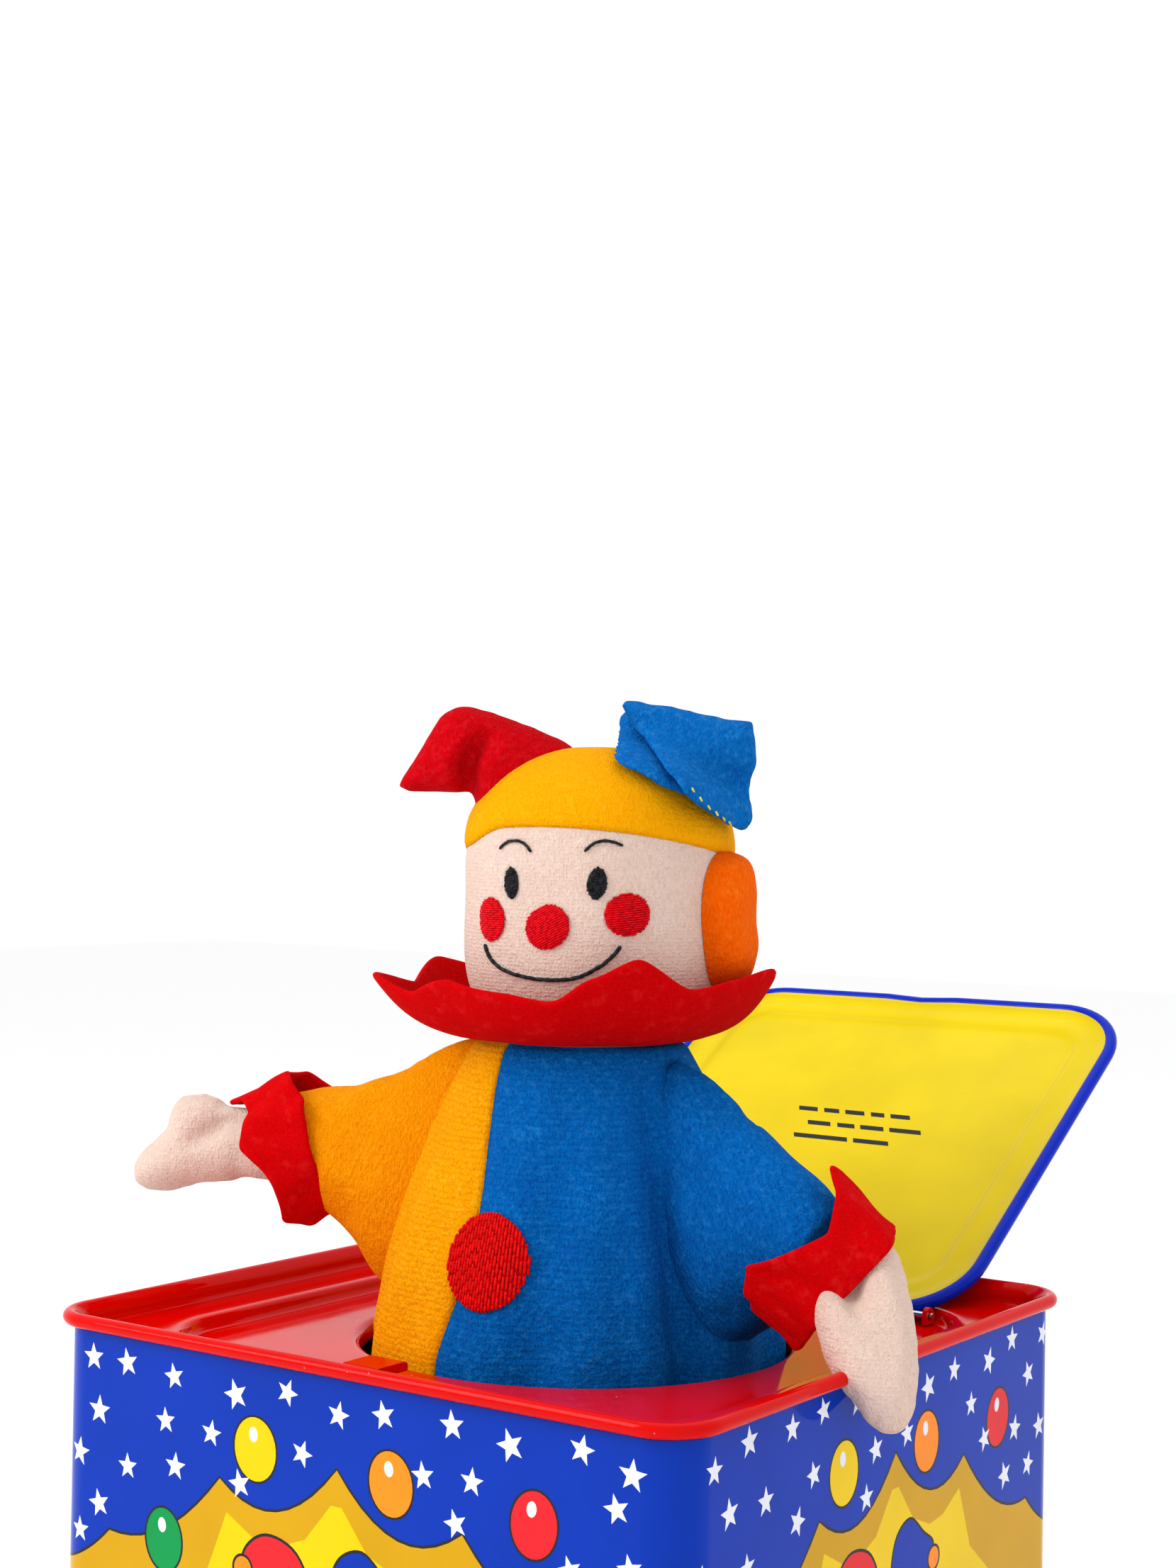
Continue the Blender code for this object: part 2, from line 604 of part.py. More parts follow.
def make_movement(axis):
    """A U-shaped frame riveted to the wall, the pegged drum and its gear, and the comb."""
    thick = MM
    web_z = 19.5 * MM
    left, right = -20 * MM, 38 * MM
    out_plate = block("movement_frame", (thick, 46 * MM, 66 * MM), STEEL)
    place(out_plate, (PLATE_OUT_X, 0, 52.5 * MM))
    parts = (
        ("frame_web", (PLATE_OUT_X - PLATE_IN_X + thick, right - left, thick), None, web_z),
        ("frame_cheek", (thick, 26 * MM, 56 * MM), PLATE_IN_X, web_z - thick / 2 + 28 * MM),
    )
    for name, size, x, z in parts:
        other = block(name, size, None, "cutters")
        at_y = (left + right) / 2 if x is None else 0
        at_x = (PLATE_OUT_X + PLATE_IN_X) / 2 if x is None else x
        joined(out_plate, place(other, (at_x, at_y, z)), "UNION")
    holes = [("shaft_hole", CRANK_ROD_R + RUN_GAP, 60 * MM, 50 * MM, 0, CRANK_Z)]
    holes.append(("sleeve_hole", CRANK_HOLE_R, 6 * MM, PLATE_OUT_X, 0, CRANK_Z))
    holes.append(("drum_hole", 1.5 * MM + RUN_GAP, 60 * MM, 56 * MM, 0, DRUM_Z))
    for i, (y, z) in enumerate(RIVET_PLACES):
        holes.append((f"plate_hole_{i + 1}", RIVET_R + RUN_GAP, 6 * MM, PLATE_OUT_X, y, z))
    for name, radius, length, x, y, z in holes:
        joined(out_plate, cutter_rod(name, radius, length, (x, y, z), ALONG_X), "DIFFERENCE")

    place(rod("drum_shaft", 1.5 * MM, 24.6 * MM, STEEL, 12), (56.9 * MM, 0, DRUM_Z), ALONG_X, axis)
    bore = 1.5 * MM + 0.3 * MM
    wheel = gear("drum_gear", DRUM_TEETH, 3.2 * MM, bore, NYLON)
    place(wheel, (GEAR_X, 0, DRUM_Z), ALONG_X, axis)
    lobe = [(9.5 * MM * cos(a), 9.5 * MM * sin(a)) for a in (radians(35 + 29 * i) for i in range(11))]
    nose = [(13.6 * MM * cos(a), 13.6 * MM * sin(a)) for a in (radians(-8), radians(8))]
    cam = plate("release_cam", [lobe + nose, circle(bore, 12)], 1.6 * MM, RED_PLASTIC)
    place(cam, (47.7 * MM, 0, DRUM_Z), ALONG_X, axis)

    drum = as_mesh(plate("music_drum", [circle(11.5 * MM, 28), circle(bore, 12)], 11 * MM, BRASS))
    place(drum, (55.3 * MM, 0, DRUM_Z), ALONG_X, axis)
    for i in range(12):
        peg = rod(f"peg_{i + 1}", 0.4 * MM, 1.6 * MM, None, 6, "cutters")
        a = tau * i / 12 + 0.2
        x = 55.3 * MM + (i * 5 % 7 - 3) * 1.5 * MM
        at = Vector((x, 11.7 * MM * cos(a), DRUM_Z + 11.7 * MM * sin(a)))
        joined(drum, place(peg, at, (a - pi / 2, 0, 0), axis), "UNION")

    tines = 7
    tine_x = [(i - (tines - 1) / 2) * 1.5 * MM for i in range(tines)]
    outline = [(-6 * MM, 34 * MM), (-6 * MM, 22 * MM)]
    for x in tine_x:
        outline += [(x - 0.5 * MM, 22 * MM), (x - 0.5 * MM, 13.2 * MM)]
        outline += [(x + 0.5 * MM, 13.2 * MM), (x + 0.5 * MM, 22 * MM)]
    outline += [(6 * MM, 22 * MM), (6 * MM, 34 * MM)]
    screws = [(-3.4 * MM, 29 * MM), (3.4 * MM, 29 * MM)]
    holes = [circle(1.3 * MM, 10, centre) for centre in screws]
    comb_z = DRUM_Z + 0.4 * MM
    place(plate("comb", [outline, *holes], 0.9 * MM, STEEL), (55.3 * MM, 0, comb_z))
    top, foot = comb_z - 0.8 * MM, web_z + thick / 2 + 0.3 * MM
    base = block("comb_block", (12 * MM, 9 * MM, top - foot), BRASS)
    place(base, (55.3 * MM, 29.5 * MM, (top + foot) / 2))
    for i, (x, y) in enumerate(screws):
        at = (55.3 * MM + x, y, top)
        joined(base, cutter_rod(f"screw_hole_{i + 1}", 1.3 * MM, 12 * MM, at), "DIFFERENCE")
        head = comb_z + 0.8 * MM
        profile = [(0, head + 1.1 * MM), (1.8 * MM, head + 1.0 * MM), (2.0 * MM, head)]
        profile += [(1.0 * MM, head), (1.0 * MM, top - 5 * MM), (0, top - 5 * MM)]
        place(turned(f"comb_screw_{i + 1}", profile, STEEL, 10), (55.3 * MM + x, y, 0))


# Doll


def make_spring():
    base = [(0, 5.8), (30.5, 5.8), (30.5, 2.2), (0, 2.2)]
    turned("spring_base", [(r * MM, z * MM) for r, z in base], BOARD, 28, smooth=False)
    per_turn = 9
    count = SPRING_TURNS * per_turn
    points = []
    for i in range(count + 1):
        share = i / count
        a = tau * i / per_turn
        z = SPRING_LOW + (SPRING_HIGH - SPRING_LOW) * share
        points.append((SPRING_R * cos(a), SPRING_R * sin(a), z))
    wire("pop_spring", points, SPRING_WIRE_R, STEEL, sides=1)
    disc = [(0, 1.0), (18.8, 1.0), (18.8, -0.6), (0, -0.6)]
    disc = [(r * MM, z * MM) for r, z in disc]
    place(turned("neck_disc", disc, BOARD, 24, smooth=False), (0, 0, RIM_Z + 52.6 * MM))


# (radius, height over the rim) down the robe's outside, in millimetres
ROBE_PROFILE = (
    (NECK_R / MM, 51.2),
    (24.2, 45.0),
    (29.2, 34.0),
    (33.6, 22.0),
    (37.4, 9.0),
    (40.2, -4.0),
    (40.2, -11.0),
    (37.0, -26.0),
    (32.5, -70.0),
    (31.0, -131.0),
)


def robe_outline(out):
    return [((r + out) * MM, RIM_Z + z * MM) for r, z in ROBE_PROFILE]


def make_robe():
    inner = [(r - ROBE_WALL, z) for r, z in robe_outline(0)]
    for name, side, mat in (
        ("robe_right_half", -1, YELLOW_CLOTH),
        ("robe_left_half", 1, BLUE_CLOTH),
    ):
        robe = turned(name, robe_outline(0) + inner[::-1], mat, 24)
        half = block(f"{name}_space", (50 * MM, 100 * MM, 300 * MM), None, "cutters")
        place(half, (side * 25.2 * MM, 0, RIM_Z - 30 * MM))
        joined(robe, half, "INTERSECT")
    button = ball("robe_button", (7.6 * MM, 1.4 * MM, 9.0 * MM), RED_THREAD, 14, 8)
    place(button, (2.7 * MM, -38.2 * MM, RIM_Z + 14.0 * MM), (radians(-16), 0, 0))


def limb(name, stations, mat, across, steps=14, **options):
    """A soft limb of oval sections. A station is a centre over the rim and two half widths, in
    millimetres: along the direction across, and square to it."""
    centres = [(Vector(station[:3]) + Vector((0, 0, RIM_Z / MM))) * MM for station in stations]
    rings = []
    for i, (*_, wide, tall) in enumerate(stations):
        ahead = (centres[min(i + 1, len(centres) - 1)] - centres[max(i - 1, 0)]).normalized()
        side = (across - ahead * across.dot(ahead)).normalized() * (wide * MM)
        up = ahead.cross(side).normalized() * (tall * MM)
        angles = [tau * k / steps for k in range(steps)]
        rings.append([centres[i] + side * cos(a) + up * sin(a) for a in angles])
    return lofted(name, rings, mat, **options)


def make_sleeve(label, stations, mat, across):
    sleeve = limb(f"sleeve_{label}", stations, mat, across, steps=18)
    space = turned(
        f"sleeve_{label}_space",
        [(0, RIM_Z + 60 * MM), *robe_outline(CLOTH_GAP / MM), (0, RIM_Z - 131 * MM)],
        None,
        24,
        collection="cutters",
    )
    joined(sleeve, space, "DIFFERENCE")


def make_cuff(label, centre, along, radius):
    """A felt band, a little wider at its hand end."""
    band = [(0.8, 6.5), (-0.4, -6.5), (-1.6, -6.5), (-0.4, 6.5)]
    ring = turned(f"cuff_{label}", [((radius + r) * MM, z * MM) for r, z in band], RED_FELT, 18)
    place(ring, (Vector(centre) + Vector((0, 0, RIM_Z / MM))) * MM)
    ring.rotation_euler = along.to_track_quat("Z", "Y").to_euler()


def make_hand(label, palm, thumb, across):
    hand = limb(f"hand_{label}", palm, FLESH_KNIT, across)
    joined(hand, limb(f"thumb_{label}", thumb, None, across, collection="cutters"), "UNION")


def make_right_arm():
    """It reaches out and a little forward, with its thumb up."""
    out = Vector((-cos(ARM_TURN), -sin(ARM_TURN), 0))
    across = Vector((0, 0, 1)).cross(out)

    def at(reach, height, wide, tall):
        return (*(out * reach).xy, height, wide, tall)

    sleeve = [at(18, 25, 13, 24), at(30, 23, 13, 23), at(40.7, 23.2, 12, 19)]
    sleeve += [at(46, 25.8, 11, 15), at(49.6, 26.8, 9.4, 11), at(51.2, 27.2, 6.6, 6.6), at(57.5, 28.2, 6.6, 6.6)]
    make_sleeve("right", sleeve, YELLOW_CLOTH, across)
    lean = radians(-13)
    make_cuff("right", at(62, 28.2, 0, 0)[:3], out * cos(lean) + Vector((0, 0, sin(lean))), 11.2)
    palm = [at(60, 27.5, 6.0, 8.0), at(66, 27, 6.5, 8.0), at(75, 26.5, 7.0, 8.3)]
    palm += [at(83, 24.5, 6.8, 7.0), at(90, 22.8, 5.6, 5.2), at(94, 22, 2.8, 2.6)]
    thumb = [at(71, 29, 4.0, 4.6), at(76, 33, 4.4, 4.6), at(80.5, 34.8, 4.2, 4.2)]
    make_hand("right", palm, thumb + [at(84, 34.2, 2.4, 2.4)], across)


def make_left_arm():
    """It droops, so that the hand hangs over the rim at the side."""
    across = Vector((0.2, 1.0, 0.0)).normalized()
    sleeve = [(14, 0, 27, 13, 21), (28, -1.5, 25, 13, 19), (40, -3.5, 22, 12, 15)]
    sleeve += [(48, -4.8, 20.2, 11, 12), (50, -5.2, 19.4, 8.6, 8.6), (53.5, -5.6, 18.4, 8.6, 8.6)]
    make_sleeve("left", sleeve, BLUE_CLOTH, across)
    lean = radians(-30)
    along = Vector((cos(radians(14)) * cos(lean), -sin(radians(14)) * cos(lean), sin(lean)))
    make_cuff("left", (58, -6.5, 17), along, 12.8)
    facing = Vector((0.817, 0.577, 0))
    palm = [(58.5, -7.5, 17.5, 7.0, 6.5), (64, -10.6, 14.6, 7.8, 6.2), (72, -18.5, 11, 9.0, 6.0)]
    palm += [(77.5, -23.5, 6, 8.8, 5.2), (80.8, -27, -1, 7.4, 4.6), (81.6, -28, -8, 5.4, 3.8)]
    palm.append((81.8, -28.4, -11.5, 2.4, 2.0))
    thumb = [(63, -11, 15, 4.0, 4.0), (68, -8, 15.5, 4.6, 4.6), (72.5, -6, 14.5, 4.6, 4.4)]
    make_hand("left", palm, thumb + [(76.5, -5, 11.5, 3, 3)], facing)


def make_collar():
    """A felt ruff, its edge cut in points and waved, drooping out over the shoulders."""
    points_round, inner_r, outer_r = 8, 21.2 * MM, 38.4 * MM
    steps = points_round * 5
    bm = bmesh.new()
    rows = []
    for k in range(4):
        share = k / 3
        row = []
        for i in range(steps):
            a = tau * i / steps
            point = 0.5 + 0.5 * cos(points_round * a)
            r = inner_r + (outer_r - inner_r) * share * (0.86 + 0.14 * point)
            z = COLLAR_Z + (9.0 * share + 3.0 * share * cos(points_round * a + 0.6)) * MM
            row.append(bm.verts.new((r * cos(a), r * sin(a), z)))
        rows.append(row)
    for low, high in zip(rows, rows[1:]):
        for i in range(steps):
            j = (i + 1) % steps
            bm.faces.new((low[i], low[j], high[j], high[i]))
    collar = mesh_object("neck_ruff", bm, RED_FELT)
    sheet = collar.modifiers.new("felt", "SOLIDIFY")
    sheet.thickness = 1.3 * MM
    sheet.offset = 1 if collar.data.polygons[0].normal.z > 0 else -1


def head_profile(out, low, high, count):
    """(radius, height from its middle) up the head, a barrel with a domed top, from low to high."""
    points = []
    for i in range(count):
        a = low + (high - low) * i / (count - 1)
        power, tall = (2 / 2.6, HEAD_TALL + out) if a > 0 else (2 / 5, HEAD_TALL + out)
        round_part, rise = max(cos(a), 0.0) ** power, abs(sin(a)) ** power
        rise = rise if a > 0 else -rise
        points.append(((HEAD_R + out) * round_part, tall * rise))
    return points


def head_solid(name, out, mat, **options):
    outline = head_profile(out, -pi / 2, pi / 2, 21)[::-1]
    outline[0], outline[-1] = (0, outline[0][1]), (0, outline[-1][1])
    return place(turned(name, outline, mat, 28, **options), HEAD_AT)


def head_space(name, out):
    return head_solid(name, out, None, collection="cutters")


def face_point(azimuth, rise, out=0.0):
    """A point on the head, azimuth from the doll's nose towards its left, rise over its middle."""
    power = 2.6 if rise > 0 else 5
    radius = (HEAD_R + out) * (1 - (abs(rise) / HEAD_TALL) ** power) ** (1 / power)
    a = HEAD_TURN + azimuth
    return HEAD_AT + Vector((radius * sin(a), -radius * cos(a), rise))


def face_patch(name, azimuth, rise, half_wide, half_tall, thickness, mat):
    """An oval embroidered patch that follows the head a cloth gap off it."""
    steps = 14
    bm = bmesh.new()
    rows = []
    for share in (0.5, 1.0):
        row = []
        for i in range(steps):
            a = tau * i / steps
            turn = azimuth + share * half_wide * cos(a) / HEAD_R
            row.append(bm.verts.new(face_point(turn, rise + share * half_tall * sin(a), CLOTH_GAP)))
        rows.append(row)
    middle = bm.verts.new(face_point(azimuth, rise, CLOTH_GAP))
    for i in range(steps):
        j = (i + 1) % steps
        bm.faces.new((middle, rows[0][i], rows[0][j]))
        bm.faces.new((rows[0][i], rows[1][i], rows[1][j], rows[0][j]))
    patch = mesh_object(name, bm, mat)
    facing = (patch.data.polygons[0].center - HEAD_AT).dot(patch.data.polygons[0].normal)
    skin = patch.modifiers.new("thread", "SOLIDIFY")
    skin.thickness = thickness
    skin.offset = 1 if facing > 0 else -1


def make_head():
    head_solid("head", 0, FLESH_KNIT)
    patches = (
        ("eye_right", -21.5, 2.0, 1.9, 3.0, BLACK_THREAD),
        ("eye_left", 20.0, 2.0, 1.9, 3.0, BLACK_THREAD),
        ("cheek_right", -35.0, -6.0, 4.2, 4.0, RED_THREAD),
        ("cheek_left", 33.0, -5.5, 4.2, 4.0, RED_THREAD),
        ("nose", 0.0, -8.0, 4.0, 4.0, RED_THREAD),
    )
    for name, azimuth, rise, wide, tall, mat in patches:
        thick = 1.6 * MM if name == "nose" else 0.6 * MM
        face_patch(name, radians(azimuth), rise * MM, wide * MM, tall * MM, thick, mat)


def make_cap():
    """The crown sits over the head; two stuffed horns stand on it."""
    thick, brim = 1.3 * MM, radians(14)

    def dome(out):
        points = head_profile(out, brim, pi / 2, 8)[::-1]
        return [(0, points[0][1]), *points[1:]]

    outline = dome(CLOTH_GAP + thick) + dome(CLOTH_GAP)[::-1]
    place(turned("cap_crown", outline, YELLOW_CLOTH, 28), HEAD_AT)

    across = Vector((0.817, 0.577, 0))
    red = ((-11, 103, 11.5), (-16, 108, 10), (-22, 109.5, 8.4), (-28.5, 107, 6.2))
    blue = ((12, 105, 12), (17.5, 109, 10), (24.5, 109, 8.6), (29.5, 105, 6.8), (31.5, 98.5, 4.6))
    horns = (
        ("cap_horn_right", RED_FELT, (*red, (-34.5, 103, 3.0))),
        ("cap_horn_left", BLUE_CLOTH, (*blue, (31, 94.5, 2.4))),
    )
    for name, mat, spine in horns:
        points = [across * (x * MM) + Vector((0, 0, RIM_Z + z * MM)) for x, z, _ in spine]
        horn = as_mesh(wire(name, points, 8 * MM, mat, [r * MM for *_, r in spine], sides=3))
        joined(horn, head_space(f"{name}_space", thick + 2 * CLOTH_GAP), "DIFFERENCE")


def make_hair():
    for name, degrees in (("hair_right", -106), ("hair_left", 90)):
        azimuth = HEAD_TURN + radians(degrees)
        at = HEAD_AT + Vector((sin(azimuth), -cos(azimuth), 0)) * (HEAD_R - 1.0 * MM)
        tuft = ball(name, (5.5 * MM, 12.0 * MM, 12.5 * MM), ORANGE_HAIR, 14, 8)
        place(tuft, at - Vector((0, 0, 6.5 * MM)), (0, 0, azimuth - pi / 2))
        joined(tuft, head_space(f"{name}_space", CLOTH_GAP), "DIFFERENCE")


def main():
    lid_axis = empty("lid_axis", (0, HINGE_Y, HINGE_Z))
    latch_axis = empty("latch_axis", (0, LATCH_Y, LATCH_Z))
    crank_axis = empty("crank_axis", (GEAR_X, 0, CRANK_Z))
    knob_axis = empty("knob_axis", (90.9 * MM, 0, CRANK_Z - CRANK_ARM))
    drum_axis = empty("drum_axis", (GEAR_X, 0, DRUM_Z))
    make_box()
    make_tray()
    make_hinge()
    make_lid(lid_axis)
    make_latch(latch_axis)
    make_crank(crank_axis, knob_axis)
    make_bushing()
    make_movement(drum_axis)
    make_spring()
    make_robe()
    make_right_arm()
    make_left_arm()
    make_collar()
    make_head()
    make_cap()
    make_hair()


main()
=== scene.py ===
"""Looks of the jack in the box: a printed tin box, a pressed red tray, a hinged lid and a cloth clown doll.

Everything is in metres in the CAD frame: +Z up, the front is -Y, the crank is on +X. Outlines and sizes are
written in millimetres, and heights over the rim count from RIM. Right and left are the doll's own.
"""

import json
import random
from math import cos, exp, hypot, pi, radians, sin, sqrt, tau

import bmesh
import bpy
from mathutils import Matrix, Vector, noise
from mathutils.geometry import delaunay_2d_cdt


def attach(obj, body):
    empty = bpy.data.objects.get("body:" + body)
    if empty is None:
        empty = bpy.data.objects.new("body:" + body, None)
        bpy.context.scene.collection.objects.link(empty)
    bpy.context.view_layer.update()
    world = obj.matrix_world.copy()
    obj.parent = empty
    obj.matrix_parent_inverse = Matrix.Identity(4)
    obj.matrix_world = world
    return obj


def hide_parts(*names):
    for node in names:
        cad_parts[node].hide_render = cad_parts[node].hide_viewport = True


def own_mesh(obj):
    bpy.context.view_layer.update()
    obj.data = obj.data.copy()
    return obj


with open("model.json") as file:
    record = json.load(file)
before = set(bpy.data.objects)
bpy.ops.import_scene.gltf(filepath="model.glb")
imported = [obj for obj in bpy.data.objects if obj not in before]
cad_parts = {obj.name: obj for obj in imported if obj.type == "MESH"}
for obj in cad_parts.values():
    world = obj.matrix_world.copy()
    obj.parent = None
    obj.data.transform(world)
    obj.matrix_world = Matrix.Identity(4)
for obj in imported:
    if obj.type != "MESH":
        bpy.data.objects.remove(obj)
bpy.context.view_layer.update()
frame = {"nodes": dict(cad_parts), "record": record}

MM = 0.001
RIM = 142
ROOT = bpy.context.scene.collection
ACROSS = Vector((0.817, 0.577, 0))
UP = Vector((0, 0, 1))
TOWARDS = ACROSS.cross(UP)


def over_rim(x, y, z):
    return Vector((x * MM, y * MM, (RIM + z) * MM))


def clamp(value):
    return max(0.0, min(1.0, value))


def bell(away, wide):
    return exp(-((away / wide) ** 2))


# Materials

WAVE_SCALE = 0.3142


def rgb(hexed):
    """Linear colour from an sRGB hex string."""
    parts = [int(hexed[i : i + 2], 16) / 255 for i in (0, 2, 4)]
    return (*[p / 12.92 if p <= 0.04045 else ((p + 0.055) / 1.055) ** 2.4 for p in parts], 1.0)


def shaded(colour, share):
    return (*[c * share for c in colour[:3]], 1)


class Paint:
    """A Principled material, with short calls for the nodes behind it."""

    def __init__(self, name, colour, **sockets):
        self.made = bpy.data.materials.new(name)
        self.made.use_nodes = True
        self.made.diffuse_color = colour
        self.tree = self.made.node_tree
        self.shader = self.tree.nodes["Principled BSDF"]
        for key, value in (("Base_Color", colour), *sockets.items()):
            self.shader.inputs[key.replace("_", " ")].default_value = value

    def set(self, socket, value):
        if isinstance(value, bpy.types.NodeSocket):
            self.tree.links.new(value, socket)
        else:
            socket.default_value = value

    def add(self, kind, *values, **settings):
        """A node. Values go to its inputs in order; lower case names are settings and the others inputs."""
        node = self.tree.nodes.new("ShaderNode" + kind)
        for key, value in settings.items():
            if key[0].islower():
                setattr(node, key, value)
            else:
                self.set(node.inputs[key.replace("_", " ")], value)
        for socket, value in zip(node.inputs, values):
            self.set(socket, value)
        return node

    def mix(self, share, one, other):
        node = self.add("Mix", data_type="RGBA")
        for index, value in ((0, share), (6, one), (7, other)):
            self.set(node.inputs[index], value)
        return node.outputs[2]

    def place(self, stretch=(1, 1, 1), turn=(0, 0, 0)):
        at = self.add("TexCoord").outputs["Object"]
        return self.add("Mapping", at, Scale=stretch, Rotation=turn).outputs[0]

    def noise(self, at, scale, detail=2.0, rough=0.5):
        return self.add("TexNoise", Vector=at, Scale=scale, Detail=detail, Roughness=rough).outputs["Fac"]

    def ramp(self, value, low, high, to_low=0.0, to_high=1.0):
        return self.add("MapRange", value, low, high, to_low, to_high).outputs[0]

    def maths(self, operation, one, other):
        return self.add("Math", one, other, operation=operation).outputs[0]

    def finish(self, base, height, strength, distance, rough=None):
        """Wires up the colour, the bump and, where it varies, the roughness."""
        self.tree.links.new(base, self.shader.inputs["Base Color"])
        if rough:
            self.tree.links.new(rough, self.shader.inputs["Roughness"])
        bump = self.add("Bump", Strength=strength, Distance=distance, Height=height)
        self.tree.links.new(bump.outputs[0], self.shader.inputs["Normal"])
        return self.made


def lacquer(name, colour, rough=0.13, dust=0.0):
    """Printed or dipped gloss on tin, with faint waves in the sheet, smears and a few dust specks."""
    colour = rgb(colour)
    paint = Paint(name, colour, Specular_IOR_Level=0.09)
    at = paint.place()
    base = paint.mix(paint.ramp(paint.noise(at, 55, 3), 0.3, 0.7), shaded(colour, 0.9), colour)
    if dust:
        speck = paint.ramp(paint.add("TexVoronoi", Vector=at, Scale=330.0).outputs[0], 0.035, 0.06, 1.0, 0.0)
        thin = paint.ramp(paint.noise(at, 90), 0.56, 0.62)
        share = paint.maths("MULTIPLY", paint.maths("MULTIPLY", speck, thin), dust)
        base = paint.mix(share, base, (0.85, 0.8, 0.78, 1))
    smear = paint.ramp(paint.noise(at, 240, 4, 0.6), 0.35, 0.75, rough * 0.8, rough * 1.5)
    return paint.finish(base, paint.noise(at, 28, 1), 0.5, 0.24 * MM, smear)


def fleece(name, colour, shade, light, rows=1.1, turn=(0, 0, 0), marks=0.0):
    """Brushed knit: rows of loops under a short pile, with tone that varies in patches and by the fibre."""
    colour, shade, light = rgb(colour), rgb(shade), rgb(light)
    sheen = {"Sheen_Weight": 0.08, "Sheen_Roughness": 0.45, "Sheen_Tint": light}
    paint = Paint(name, colour, Roughness=0.92, Specular_IOR_Level=0.04, **sheen)
    at = paint.place(turn=turn)
    fibres = paint.noise(paint.place((1, 1, 0.35), turn), 2600, 3, 0.65)
    tufts = paint.noise(at, 700, 4, 0.65)
    base = paint.mix(paint.ramp(fibres, 0.32, 0.68), shade, colour)
    base = paint.mix(paint.ramp(tufts, 0.5, 0.78, 0.0, 0.55), base, light)
    base = paint.mix(paint.ramp(paint.noise(at, 90, 3, 0.6), 0.35, 0.65, 0.0, 0.35), base, shade)
    weave = {"Distortion": 5.0, "Detail": 2.0, "Detail_Scale": 3.0, "bands_direction": "Z"}
    loops = paint.add("TexWave", Vector=at, Scale=WAVE_SCALE / (rows * MM), **weave).outputs[1]
    if marks:
        base = paint.mix(paint.ramp(loops, 0.0, 0.35, marks, 0.0), base, shaded(shade, 0.55))
    height = paint.maths("MULTIPLY", paint.maths("ADD", fibres, tufts), 1.1)
    height = paint.maths("ADD", height, paint.maths("MULTIPLY", loops, 0.12))
    return paint.finish(base, height, 1.0, 0.525 * MM)


def felt(name, colour, shade, light):
    """Pressed wool: matted fibres in every direction."""
    colour, shade, light = rgb(colour), rgb(shade), rgb(light)
    sheen = {"Sheen_Weight": 0.08, "Sheen_Roughness": 0.5, "Sheen_Tint": light}
    paint = Paint(name, colour, Roughness=0.95, Specular_IOR_Level=0.03, **sheen)
    at = paint.place()
    fibres = paint.noise(at, 1900, 5, 0.75)
    clumps = paint.noise(at, 320, 4, 0.6)
    base = paint.mix(paint.ramp(fibres, 0.3, 0.7), shade, colour)
    base = paint.mix(paint.ramp(clumps, 0.55, 0.8, 0.0, 0.5), base, light)
    return paint.finish(base, paint.maths("ADD", fibres, paint.maths("MULTIPLY", clumps, 1.3)), 0.8, 0.4 * MM)


def thread(name, colour, dark, rough=0.38):
    colour, dark = rgb(colour), rgb(dark)
    paint = Paint(name, colour, Roughness=rough, Specular_IOR_Level=0.08)
    at = paint.place()
    base = paint.mix(paint.ramp(paint.noise(at, 1400), 0.35, 0.65), dark, colour)
    twist = {"Scale": WAVE_SCALE / (0.35 * MM), "Distortion": 1.0, "bands_direction": "DIAGONAL"}
    return paint.finish(base, paint.add("TexWave", Vector=at, **twist).outputs[1], 0.5, 0.06 * MM)


def metal(name, colour, rough, grain=(1, 1, 1)):
    """Bare metal, brushed along the grain's short side, with dull spots."""
    paint = Paint(name, colour, Metallic=1.0, Roughness=rough)
    brushed = paint.noise(paint.place(grain), 900, 4, 0.6)
    stain = paint.noise(paint.place(), 120, 4, 0.6)
    base = paint.mix(paint.ramp(stain, 0.45, 0.7), colour, shaded(colour, 0.72))
    dull = paint.ramp(stain, 0.5, 0.75, 0.0, 0.1)
    rougher = paint.maths("ADD", paint.ramp(brushed, 0.3, 0.7, rough * 0.75, rough * 1.3), dull)
    return paint.finish(base, brushed, 0.35, 0.04 * MM, rougher)


def plain(name, colour, rough, scale, depth, coat=0.0):
    """Moulded plastic or fibreboard."""
    colour = rgb(colour)
    paint = Paint(name, colour, Roughness=rough, Coat_Weight=coat, Coat_Roughness=0.1)
    grain = paint.noise(paint.place(), scale, 4, 0.6)
    base = paint.mix(paint.ramp(grain, 0.35, 0.65), shaded(colour, 0.78), colour)
    return paint.finish(base, grain, 0.5, depth * MM, paint.ramp(grain, 0.3, 0.7, rough * 0.85, rough * 1.15))


RED_TIN = lacquer("red_lacquer", "D20300", 0.07, dust=0.7)
INK_BLUE = lacquer("ink_blue", "0032A8", 0.09)
INK_PALE = lacquer("ink_pale", "E4E6F2", 0.14)
INK_YELLOW = lacquer("ink_yellow", "ECC600")
INK_GOLD = lacquer("ink_gold", "CC9A0A")
INK_BLACK = lacquer("ink_black", "26282C", 0.14)
INK_ORANGE = lacquer("ink_orange", "F98A1C")
INK_GREEN = lacquer("ink_green", "0B9048")
INK_RED = lacquer("ink_red", "E0232B")
LID_YELLOW = lacquer("lid_yellow", "DCC200", 0.2)
LID_BLUE = lacquer("lid_blue", "0024B4", 0.12)
BARE_TIN = metal("bare_tin", (0.55, 0.55, 0.56, 1), 0.35)
STEEL = metal("steel", (0.62, 0.62, 0.64, 1), 0.26, (0.2, 1, 1))
